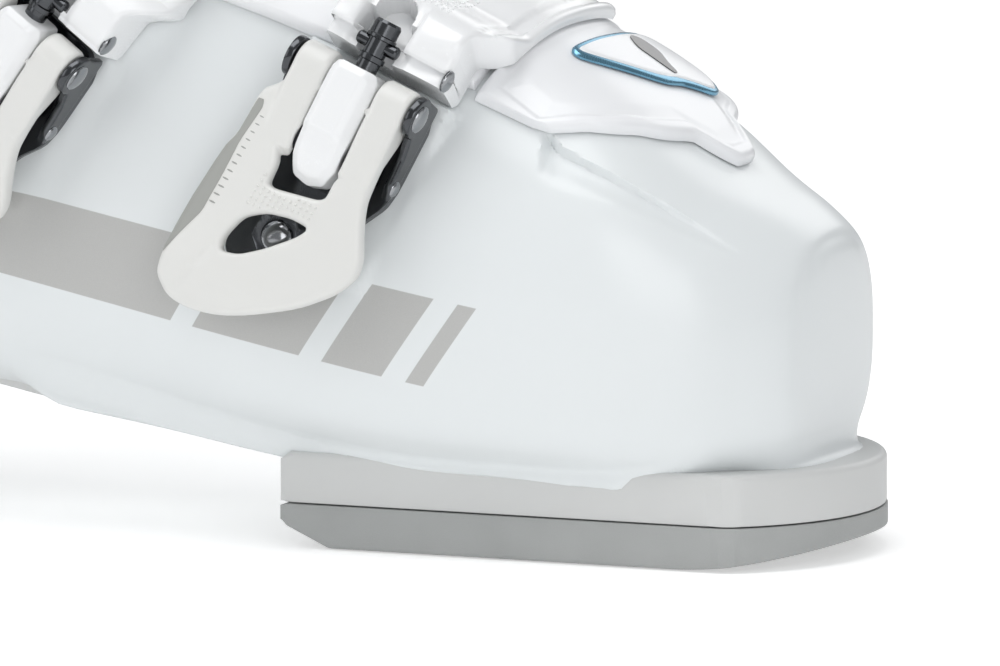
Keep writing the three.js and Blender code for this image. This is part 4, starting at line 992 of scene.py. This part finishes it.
def plateTop(v, u, d):
    sag = -0.0105 * np.clip(-28 - u, 0, None) ** 2 * 1.7
    bead = 0.5 * np.exp(-((np.hypot(v + 3.2, u + 33.2) - 5.2) / 0.55) ** 2)
    return -7.3 + sag + bead - 0.4 * (1 - roundOver(d, 0.5))


base = plateSolid(plateOutline, plateTop, lambda v, u,
                  d: plateTop(v, u, 9.0 + 0 * v) * 0 - 9.1 - 0.0105 * 1.7
                  * np.clip(-28 - u, 0, None) ** 2, (), 1.0, (0.25, 0.6))
earTurn = np.linspace(-0.4, 3.3, 22)
earOutline = np.vstack([np.stack([np.cos(earTurn), np.sin(earTurn)], 1) * 4.3,
                        [(-8.2, -2.6), (-14.6, -3.4), (-17.2, -4.8), (-17.0, -6.6), (-14.0, -7.6),
                         (3.4, -7.6)]])
ears = [across(earOutline, *sorted((side * 13.2, side * 14.8)), 0.35, 0.8) for side in (-1, 1)]
onSeats("earPlates", joined([base, *ears]), darkSteel, "host", 30, "base_plate")
dome = lambda r, h: [(-0.6, r * 0.9), (0, r), (0.25 * h, r * 0.96), (0.6 * h, r * 0.78),
                     (0.88 * h, r * 0.45), (h, 0.02)]
heads = [lathe([(-7.0, 1.7), (-0.5, 1.7), *dome(2.9, 1.0)], (side * 14.8, 0, 0), (side, 0, 0),
               36) for side in (-1, 1)]
heads += [lathe(dome(1.7, 0.8), (side * 14.8, -14.4, -5.4), (side, 0, 0), 28) for side in (-1, 1)]
heads += [lathe(dome(3.4, 1.9), (-3.2, -33.2, -7.7), (0, 0, 1), 40),
          lathe(dome(2.6, 1.0), (0, -17.5, -7.3), (0, 0, 1), 32)]
onSeats("buckleRivets", joined(heads), brightSteel, "host", 30)
print("stage: buckles made")


# Cuff and its flap
lowX, lowZ = (-280, -214, -182, -156, -138, -124, -104, -84, -50), (103, 100, 92, 87, 94, 112, 144, 163,
                                                                    178)
topX, topZ = (-240, -195, -140, -92, -30), (282, 284, 300, 303, 306)
cuffFlapLow = cuffFace + 0.5
cuffFlapFace = cuffFace + 0.3 + wall["cuffFlap"]


# A shell of the form between the cuff's lower and upper edges; tTurns gives the turns at each column
def wrapSheet(name, tTurns, low, high, rows, lip, sides, seatsHere=()):
    sLow = crossing(tTurns, lowX, lowZ, 9.2, 18.0, 1200)
    sTop = crossing(tTurns, topX, topZ, 15.0, 22.99, 1200)
    s = sLow[None] + (sTop - sLow)[None] * eased(rows, 0.4)[:, None]
    t = np.broadcast_to(tTurns, s.shape)
    distance = edgeDistance(skin(s, t, high), sides)
    outside = skin(s, t, high - lip * (1 - roundOver(distance, lip)))
    for seat in seatsHere:
        outside = flatten(seat, outside)
    return sheetMesh(name, outside, skin(s, t, low))


tCuff = 0.44 - 0.94 * eased(250, 0.35)
cuffPiece = addObject("cuffShell", wrapSheet("cuffShell", tCuff, wall["cuffAir"], cuffFace, 210, 1.8,
                                             ("left", "right", "front", "back"), seatNames[2:]),
                      shellWhite, "cuff", 45)
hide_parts("cuff")
tFlap = 0.425 + (0.62 - 0.425) * eased(90, 0.4)
cuffFlap = addObject("cuffFlap", wrapSheet("cuffFlap", tFlap, cuffFlapLow, cuffFlapFace, 150, 1.6,
                                           ("left", "right", "front", "back")), flapWhite, "cuff", 45)
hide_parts("cuff_flap")
print("stage: cuff made")

# Liner, tongue and footbed
liner = {"air": 5.2, "collar": 3.5, "rim": 5.4, "slot": 0.098}
tLiner = np.linspace(0, 1, 201)[:-1]
splitX, splitZ = (-270, -165, -110, -60), (150, 158, 194, 244)
sFoot = np.full(len(tLiner), 10.6)
sSplit = crossing(tLiner, splitX, splitZ, 9.0, 21.0)
sRim = crossing(tLiner, (-230, -140, -40), (302, 318, 328), 16.0, 23.0)
gate = smooth(np.abs(tLiner - 0.5), liner["slot"], liner["slot"] + 0.03)
sRim = 18.0 + (sRim - 18.0) * gate
rowsOut = sFoot[None] + (sRim - sFoot)[None] * np.linspace(0, 1, 150)[:, None]
tOut = np.broadcast_to(tLiner, rowsOut.shape)
bulge = smooth(rowsOut - sSplit[None], -1.0, 0.6)
puff = 0.5 * np.sin(rowsOut * 5.2) ** 2 * smooth(rowsOut, 20.8, 21.6)
outside = -liner["air"] - 2.9 + (liner["collar"] + liner["air"] + 2.4) * bulge + puff
turnIn = np.linspace(0, np.pi, 16)[1:-1]
rimPoints = []
for angle in turnIn:
    offset = (outside[-1] + -12.5) / 2 + (outside[-1] + 12.5) / 2 * np.cos(angle)
    rimPoints.append(skin(sRim + 0.0, tLiner, offset) + np.array([0.12, 0, 1.0])
                     * (liner["rim"] * np.sin(angle)))
loop = [*skin(rowsOut, tOut, outside), *rimPoints, *skin(rowsOut[::-1], tOut, -12.5 + 0 * rowsOut)]
grid = np.array(loop)
count, columns = grid.shape[:2]
faces = gridFaces(count, columns, True)
j = np.arange(columns)
close = np.stack([(count - 1) * columns + j, (count - 1) * columns + (j + 1) % columns, (j + 1) % columns,
                  j], -1)
uv = np.stack([arcSpan(grid, 1), arcSpan(grid, 0)], -1).reshape(-1, 2)
linerPiece = addObject("liner", meshFrom("liner", grid.reshape(-1, 3), np.concatenate([faces, close]), uv),
                       linerCloth, None, 60)
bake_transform(linerPiece)
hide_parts("liner_foot", "liner_shaft")

tTongue = 0.5 + (np.linspace(0, 1, 60) - 0.5) * (2 * liner["slot"] - 0.012)
sTongue = np.repeat(np.linspace(18.15, 22.985, 130)[:, None], 60, 1)
tGrid2 = np.broadcast_to(tTongue, sTongue.shape)
edge = edgeDistance(skin(sTongue, tGrid2), ("left", "right", "front", "back"))
plump = roundOver(edge, 4.5)
quilt = 0.7 * np.abs(np.sin(sTongue * 4.4)) * smooth(edge, 3, 8)
tongue = addObject("tongue", sheetMesh("tongue", skin(sTongue, tGrid2, -4.0 + 5.0 * plump + quilt * 0.5),
                                       skin(sTongue, tGrid2, -4.4 - 4.4 * plump)), linerCloth, "cuff", 60)
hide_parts("liner_tongue")

xBed = np.linspace(-206, 34, 150)
bedZ = lambda x: 36 - 10 * (x + 215) / 255
probeS, probeT = np.meshgrid(np.linspace(1.5, 16.5, 700), np.linspace(0.02, 0.48, 260), indexing="ij")
side = formPoint(probeS, probeT, 14.2)
level = np.abs(side[..., 2] - bedZ(side[..., 0]) - 8) < 1.2
widths = np.array([np.abs(side[..., 1][level & (np.abs(side[..., 0]
                                                       - x) < 2.4)]).max(initial=0.0) for x in xBed])
widths = np.convolve(np.pad(widths, 4, mode="edge"), np.ones(9) / 9, mode="valid") * 0.97
wBed = eased(50, 0.4) * 2 - 1
bedX = np.repeat(xBed[:, None], 50, 1)
bedY = widths[:, None] * wBed[None]
edge = edgeDistance(np.stack([bedX, bedY, 0 * bedX], -1), ("left", "right", "front", "back"))
cup = 1.6 * (np.abs(bedY) / np.maximum(widths[:, None], 1)) ** 2 * (1 - smooth(bedX, -120, -30))
bedHigh = bedZ(bedX) + 8.6 + cup - 1.2 * (1 - roundOver(edge, 1.4))
footbed = addObject("footbed", sheetMesh("footbed", np.stack([bedX, bedY, bedHigh], -1),
                                         np.stack([bedX, bedY, bedZ(bedX) + 6.4], -1)), liningCloth,
                    "shell", 50)
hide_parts("footbed")
print("stage: liner made")

# Power strap
strapMade = {"thick": 1.9, "air": 0.45}
tStrap = np.linspace(0, 1, 301)[:-1]
sLow = crossing(tStrap, (-240, -140, -40), (264.5, 280.5, 287.5), 15.0, 22.99, 1200)
sHigh = crossing(tStrap, (-240, -40), (291, 314), 15.0, 22.99, 1200)
onFlap = smooth(tStrap, 0.385, 0.415) * (1 - smooth(tStrap, 0.63, 0.66))
lift = cuffFace + strapMade["air"] + (cuffFlapFace - cuffFace) * onFlap
s = sLow[None] + (sHigh - sLow)[None] * eased(40, 0.4)[:, None]
t = np.broadcast_to(tStrap, s.shape)
distance = edgeDistance(skin(s, t, 12.0), ("front", "back"))
puff = lift[None] + 0.9 + (strapMade["thick"] - 0.9) * roundOver(distance, 0.7)
strapMesh = sheetMesh("powerStrap", skin(s, t, puff), skin(s, t, lift[None] + 0 * s), True)
strapPiece = addObject("powerStrap", strapMesh, strapCloth, "cuff", 50)
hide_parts("power_strap")
middleLine = skin((sLow + sHigh) / 2, tStrap, lift + 0.9)
strapWidth = np.linalg.norm(skin(sHigh, tStrap, lift) - skin(sLow, tStrap, lift), axis=-1).mean() / 1000


# Ladders: the straps over the foot that the hooks catch
def surfaceTree(pieces):
    verts, faces = [], []
    for piece in pieces:
        first = len(verts)
        verts += [Vector(v.co) * 1000 for v in piece.data.vertices]
        faces += [[i + first for i in p.vertices] for p in piece.data.polygons]
    return BVHTree.FromPolygons(verts, faces)


trees = {"shell": surfaceTree([lowerShell, toeFlap, overFlap]), "cuff": surfaceTree([cuffPiece, cuffFlap])}
ladder = {"back": 11.0, "front": 16.0, "wide": 21.0, "start": 4.7, "thick": 2.7, "air": 0.45, "roll": 5.0,
          "reach": {"forefoot": 62.0, "instep": 58.0, "lower_cuff": 56.0, "upper_cuff": 56.0}}


# Stations over the boot from the seat: a point on the surface, the way on, and the way out
def strapPath(seat, steps=62):
    f, tree = seats[seat], trees[seats[seat]["host"]]
    step = ladder["reach"][seat] / steps
    point, ahead, out = toWorld(seat, (0, ladder["start"], -4)), f["u"].copy(), f["n"].copy()
    stations = []
    for i in range(steps + 1):
        hit = tree.ray_cast(Vector(point + out * 25), Vector(-out), 60)
        found = np.array(hit[1])
        found = found if found @ out > 0 else -found
        out = out * 0.8 + found * 0.2
        out = out - f["v"] * (out @ f["v"])
        out /= np.linalg.norm(out)
        onward = np.cross(out, f["v"])
        ahead = onward if onward @ ahead > 0 else -onward
        stations.append((np.array(hit[0]), ahead.copy(), out.copy()))
        point = np.array(hit[0]) + ahead * step
    return stations


# Height of the strap's face over its underside; a is across, towards the toe, and b along
def ladderHeights(a, b, wallHigh):
    high = ladder["thick"] + (wallHigh - ladder["thick"]) * (1 - smooth(b, 8.5, 22))
    high = high - ladder["roll"] * (1 - roundOver(b + 0.4, ladder["roll"])) * 0.9
    hump = 0.9 * np.exp(-((b - 7.5) / 2.6) ** 2) * smooth(np.abs(a), 5.2, 6.4)
    window = smooth(5.6 - np.abs(a + 0.5), 0, 0.8) * smooth(b, 25.0, 26.2) * (1 - smooth(b, 46, 47.2))
    recess = smooth(4.1 - np.abs(a), 0, 0.45) * (1 - smooth(np.hypot(a, np.maximum(b - 6.4, 0)), 4.0, 4.5))
    shade = 0.8 * smooth(7.4 - np.hypot(a, np.maximum(b - 6.2, 0)), 0, 2.2)
    catch = smooth(5.6 - np.abs(a), 0, 0.35) * smooth(b, 2.3, 2.7) * (1 - smooth(b, 6.6, 7.1))
    floor_ = np.maximum(wallHigh - 7.4, ladder["thick"] * 0.5)
    cut = np.maximum(recess, catch)
    return (high + hump - shade) * (1 - cut) + np.minimum(floor_, high) * cut - 0.9 * window


def ladderPiece(seat):
    stations = strapPath(seat)
    f, tree = seats[seat], trees[seats[seat]["host"]]
    span = np.linspace(0, ladder["reach"][seat], len(stations))
    b = np.concatenate([np.linspace(0, 14, 56)[:-1], np.linspace(14, span[-1], 78)])
    mid = np.stack([np.interp(b, span, np.array([s[0][k] for s in stations])) for k in range(3)], 1)
    out = np.stack([np.interp(b, span, np.array([s[2][k] for s in stations])) for k in range(3)], 1)
    out /= np.linalg.norm(out, axis=1)[:, None]
    wide = ladder["front"] + (ladder["wide"] - ladder["front"]) * smooth(b, 9, 15) * (f["host"] == "shell")
    w = np.linspace(0, 1, 84)
    a = -ladder["back"] + (ladder["back"] + wide[:, None]) * w[None]
    depth = np.zeros(a.shape)
    for i in range(len(b)):
        for j in range(0, 84, 3):
            start = mid[i] + f["v"] * a[i, j] + out[i] * 25
            hit = tree.ray_cast(Vector(start), Vector(-out[i]), 60)
            depth[i, j] = 25 - hit[3] if hit[0] is not None else -4
        depth[i] = np.interp(np.arange(84), np.arange(0, 84, 3), depth[i, ::3])
    soft = np.pad(depth, ((9, 9), (6, 6)), mode="edge")
    soft = np.apply_along_axis(lambda m: np.convolve(m, np.ones(19) / 19, mode="valid"), 0, soft)
    soft = np.apply_along_axis(lambda m: np.convolve(m, np.ones(13) / 13, mode="valid"), 1, soft)
    under = np.maximum(depth, soft) + ladder["air"]
    place = mid[:, None] + f["v"] * a[..., None]
    firstRow = local(seat, place[:1] + out[:1, None] * under[:1, :, None])[..., 2].mean()
    lowFace = place + out[:, None] * under[..., None]
    distance = np.minimum(a + ladder["back"], wide[:, None] - a)
    distance = np.minimum(distance, (span[-1] - b)[:, None])
    high = ladderHeights(a, np.broadcast_to(b[:, None], a.shape), 3.2 - firstRow)
    high = np.maximum(high - 1.5 * (1 - roundOver(distance, 1.5)), 0.5)
    piece = addObject("ladder_" + seat, sheetMesh("ladder", lowFace + out[:, None] * high[..., None],
                                                  lowFace),
                      pearlWhite, f["host"], 50)
    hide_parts(seat + "_ladder")
    return lowFace + out[:, None] * high[..., None], a, b, out


ladderFaces = {seat: ladderPiece(seat) for seat in seatNames}
sideHead = lathe([(-0.4, 2.3), *dome(2.3, 0.8)], (16.0, 9.0, -0.9), (1, 0, 0), 32)
onSeats("ladderRivet", sideHead, brightSteel, "host", 30)
print("stage: ladders made")


# Repeated beads: grip dots and tick marks, set out by one node tree
def beadTree():
    tree = bpy.data.node_groups.new("beadsOnPoints", "GeometryNodeTree")
    face = tree.interface
    face.new_socket("Points", in_out="INPUT", socket_type="NodeSocketGeometry")
    for label in ("Length", "Width", "Height"):
        face.new_socket(label, in_out="INPUT", socket_type="NodeSocketFloat")
    face.new_socket("Finish", in_out="INPUT", socket_type="NodeSocketMaterial")
    face.new_socket("Beads", in_out="OUTPUT", socket_type="NodeSocketGeometry")
    made = {}
    for key, kind in (("in", "NodeGroupInput"), ("ball", "GeometryNodeMeshUVSphere"),
                      ("size", "ShaderNodeCombineXYZ"),
                      ("aim", "GeometryNodeInputNamedAttribute"),
                      ("along", "GeometryNodeInputNamedAttribute"),
                      ("rise", "FunctionNodeAlignRotationToVector"),
                      ("turn", "FunctionNodeAlignRotationToVector"),
                      ("set", "GeometryNodeInstanceOnPoints"), ("real", "GeometryNodeRealizeInstances"),
                      ("paint", "GeometryNodeSetMaterial"), ("soft", "GeometryNodeSetShadeSmooth"),
                      ("out", "NodeGroupOutput")):
        made[key] = tree.nodes.new(kind)
    made["ball"].inputs["Segments"].default_value = 12
    made["ball"].inputs["Rings"].default_value = 8
    made["ball"].inputs["Radius"].default_value = 0.5
    for key in ("aim", "along"):
        made[key].data_type = "FLOAT_VECTOR"
        made[key].inputs["Name"].default_value = key
    made["rise"].axis, made["turn"].axis, made["turn"].pivot_axis = "Z", "X", "Z"
    wires = (("in", "Points", "set", "Points"), ("ball", "Mesh", "set", "Instance"),
             ("in", "Length", "size", "X"),
             ("in", "Width", "size", "Y"), ("in", "Height", "size", "Z"),
             ("size", "Vector", "set", "Scale"),
             ("aim", "Attribute", "rise", "Vector"), ("rise", "Rotation", "turn", "Rotation"),
             ("along", "Attribute", "turn", "Vector"), ("turn", "Rotation", "set", "Rotation"),
             ("set", "Instances", "real", "Geometry"), ("real", "Geometry", "soft", "Geometry"),
             ("soft", "Geometry", "paint", "Geometry"), ("in", "Finish", "paint", "Material"),
             ("paint", "Geometry", "out", "Beads"))
    for a, b, c, d in wires:
        tree.links.new(made[a].outputs[b], made[c].inputs[d])
    return tree


beadNodes = beadTree()


# Plain mesh of beads (millimetres) at the points, from the node tree
def beads(name, points, aim, along, size, material, body):
    mesh = bpy.data.meshes.new(name)
    mesh.from_pydata((np.asarray(points) / 1000).tolist(), [], [])
    for key, values in (("aim", aim), ("along", along)):
        layer = mesh.attributes.new(key, "FLOAT_VECTOR", "POINT")
        layer.data.foreach_set("vector", np.broadcast_to(values,
                                                         np.shape(points)).astype(np.float32).ravel())
    holder = bpy.data.objects.new(name, mesh)
    scene.collection.objects.link(holder)
    maker = holder.modifiers.new("beads", "NODES")
    maker.node_group = beadNodes
    sockets = {s.name: s.identifier for s in beadNodes.interface.items_tree if s.in_out == "INPUT"}
    for label, value in zip(("Length", "Width", "Height"), size):
        maker[sockets[label]] = value / 1000
    maker[sockets["Finish"]] = material.data
    made = bpy.data.meshes.new_from_object(holder.evaluated_get(bpy.context.evaluated_depsgraph_get()))
    bpy.data.objects.remove(holder)
    bpy.data.meshes.remove(mesh)
    made.name = name
    piece = bpy.data.objects.new(name, made)
    scene.collection.objects.link(piece)
    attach(piece, body)
    return piece


grip = {"pitch": 1.25, "dot": (0.62, 0.62, 0.5)}
for seat in seatNames:
    f = seats[seat]
    v, u = np.meshgrid(np.arange(-8.2, 4.4, grip["pitch"]), np.arange(-29.6, -23.0, grip["pitch"]))
    spots = np.stack([v.ravel() + (u.ravel() + 29) * 0.12, u.ravel()], 1)
    loops = [respaced(l, 0.7) for l in (leverOutline, leverSlot, leverLens)]
    spots = spots[reachOf(spots, loops) > 0.9]
    dots = np.column_stack([spots, leverTop(spots[:, 0], spots[:, 1]) + 0.02])
    beads("leverGrip_" + seat, toWorld(seat, dots), f["n"], f["u"], grip["dot"], leverWhite,
          seat + "_lever")
    marks = [(-13.3 - 1.8 * k / 11, -13.6 - 1.75 * k,
              leverTop(-14.0, -13.6 - 1.75 * k) - 0.02) for k in range(12)]
    beads("leverTicks_" + seat, toWorld(seat, marks), f["n"], f["v"], (1.5, 0.34, 0.12), stripGrey,
          seat + "_lever")
    face, a, b, out = ladderFaces[seat]
    evenRows = [i for i in range(len(b)) if 11.5 < b[i] < 23][::2]
    chosen = [(i, j) for i in evenRows for j in range(len(a[i])) if abs(a[i, j]) < 8.6][::4]
    beads("ladderGrip_" + seat, [face[i, j] for i, j in chosen], np.array([out[i] for i, j in chosen]),
          f["v"],
          grip["dot"], pearlWhite, f["host"])

# Screws under the sole, bolts at the ankle and the spine
star = [(-2.6, 4.3), (-0.4, 4.3), (0, 4.0), (0.05, 2.2), (-1.2, 1.9), (-1.3, 0.02)]
for name, spots, depth in (("toe", toeScrews, sole["toePad"]), ("heel", heelScrews, sole["heelPad"])):
    for k, (x, y) in enumerate(spots):
        verts, faces = lathe(star, (x, y, depth - 3.0 - 2.6), (0, 0, -1), 36)
        screw = addObject(f"{name}Screw_{k + 1}", meshFrom("screw", verts, faces), darkSteel, "shell", 30)
        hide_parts(f"{name}_sole_screw_{k + 1}")
for name, side in (("lateral", -1), ("medial", 1)):
    node = nodes["ankle_bolt_" + name]
    far = max((abs(v.co.y) for v in node.data.vertices)) * 1000
    cap = [(-3.2, 10.4), (-1.0, 10.4), (-0.2, 9.8), (0, 9.0), (0.02, 5.4), (-1.2, 4.9), (-1.3, 0.02)]
    shank = [(-14, 5.6), (-3.0, 5.6)]
    bolt = joined([lathe(cap, (-156, side * far, 106), (0, side, 0), 56),
                   lathe(shank, (-156, side * far, 106), (0, side, 0))])
    piece = addObject("ankleBolt_" + name, meshFrom("ankleBolt", *bolt), brightSteel, "shell", 30)
    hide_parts("ankle_bolt_" + name)
for k in (1, 2):
    low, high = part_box("spine_bolt_%d" % k)
    middle = [(p + q) * 500 for p, q in zip(low, high)]
    verts, faces = lathe([(-1.2, 6.3), (0.4, 6.3), (1.1, 5.6), (1.2, 4.8), (1.2, 3.1), (0.1, 2.8),
                          (0, 0.02)],
                         middle, (-1, 0, 0), 48)
    bolt = addObject(f"spineBolt_{k}", meshFrom("spineBolt", verts, faces), brightSteel, "cuff", 30)
    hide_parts(f"spine_bolt_{k}")
print("stage: fixings made")

# Badge on the toe flap: a white face in a blue rim, with a plain dark bar
badge = {"air": 3.25, "rim": 0.9, "edge": 0.75}
badgeTurns = ((6.92, 0.455), (6.83, 0.452), (6.67, 0.462), (6.39, 0.484), (6.12, 0.503), (5.94, 0.519),
              (5.95, 0.530),
              (6.15, 0.545), (6.60, 0.556), (6.84, 0.548), (6.88, 0.50), (6.90, 0.474))


# A plate of the badge's outline, bent to the flap; s is stretched so that distances are near millimetres
def badgeLayer(name, low, high, inset, material, bevel):
    scale = np.array([17.0, 150.0])
    outline = eased2(np.array(badgeTurns) * scale, 0.2, 2)
    if inset:
        middle = respaced(outline, 0.8)
        along = np.roll(middle, -1, 0) - np.roll(middle, 1, 0)
        normal = np.stack([-along[:, 1], along[:, 0]], 1) / np.linalg.norm(along, axis=1)[:, None]
        inside = reachOf(middle + normal * 0.3, [middle]) > 0
        outline = middle + normal * np.where(inside, inset, -inset)[:, None]
    verts, faces = plateSolid(outline, lambda a, b, d: high - bevel * (1 - roundOver(d, bevel)),
                              lambda a, b, d: low + 0 * a, (), 0.8, (0.2, 0.45, 0.8))
    s, t = verts[:, 0] / scale[0], verts[:, 1] / scale[1]
    piece = addObject(name, meshFrom(name, skin(s, t, verts[:, 2]), faces), material, "shell", 40)
    return piece


badgeRim = badgeLayer("badgeRim", badge["air"], badge["air"] + badge["rim"], 0, badgeBlue, 0.5)
badgeLayer("badgeFace", badge["air"] + 0.5, badge["air"] + badge["rim"] + 0.35, badge["edge"],
                       flapWhite, 0.4)
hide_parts("toe_badge")
markLine = [(6.80, 0.509), (6.74, 0.5175), (6.55, 0.5165), (6.40, 0.508), (6.25, 0.5045), (6.24, 0.502),
            (6.44, 0.502), (6.66, 0.502)]
bar_ = plateSolid(eased2(np.array(markLine) * (17.0, 150.0), 0.2, 2), lambda a, b,
                  d: badge["air"] + badge["rim"] + 0.55 + 0 * a,
                  lambda a, b, d: badge["air"] + badge["rim"] + 0.1 + 0 * a, (), 0.5, (0.15,))
badgeBar = addObject("badgeBar", meshFrom("badgeBar",
                                          skin(bar_[0][:, 0] / 17, bar_[0][:, 1] / 150, bar_[0][:, 2]),
                                          bar_[1]),
                     markDark, "shell", 40)
print("stage: badge made")

# Floor, and a plain grey on the parts kept as modelled
floorMat = Mat("floorPaper")
grain = floorMat.noise(40.0, 2.0)
floorMat.set(Base_Color=floorMat.mix(grain, (0.86, 0.86, 0.86), (0.9, 0.9, 0.9)), Roughness=0.9,
             Emission_Color=(1, 1, 1), Emission_Strength=0.2)
paper = floorMat.data.node_tree
glow, both = paper.nodes.new("ShaderNodeEmission"), paper.nodes.new("ShaderNodeAddShader")
pick = paper.nodes.new("ShaderNodeMixShader")
glow.inputs[1].default_value = 0.24
principled = floorMat.shader
output = next(n for n in paper.nodes if n.type == "OUTPUT_MATERIAL")
paper.links.new(principled.outputs[0], both.inputs[0])
paper.links.new(glow.outputs[0], both.inputs[1])
paper.links.new(paper.nodes.new("ShaderNodeLightPath").outputs["Is Camera Ray"], pick.inputs[0])
paper.links.new(principled.outputs[0], pick.inputs[1])
paper.links.new(both.outputs[0], pick.inputs[2])
paper.links.new(pick.outputs[0], output.inputs[0])
floorMesh = bpy.data.meshes.new("floor")
floorMesh.from_pydata([(-6, -6, -0.0003), (6, -6, -0.0003), (6, 6, -0.0003), (-6, 6, -0.0003)], [],
                      [(0, 1, 2, 3)])
floor = bpy.data.objects.new("floor", floorMesh)
floorMesh.materials.append(floorMat.data)
scene.collection.objects.link(floor)

for name, node in nodes.items():
    if not node.hide_render:
        print("kept as modelled:", name)
        node.data.materials.clear()
        node.data.materials.append(boardGrey.data)
print("stage: done")
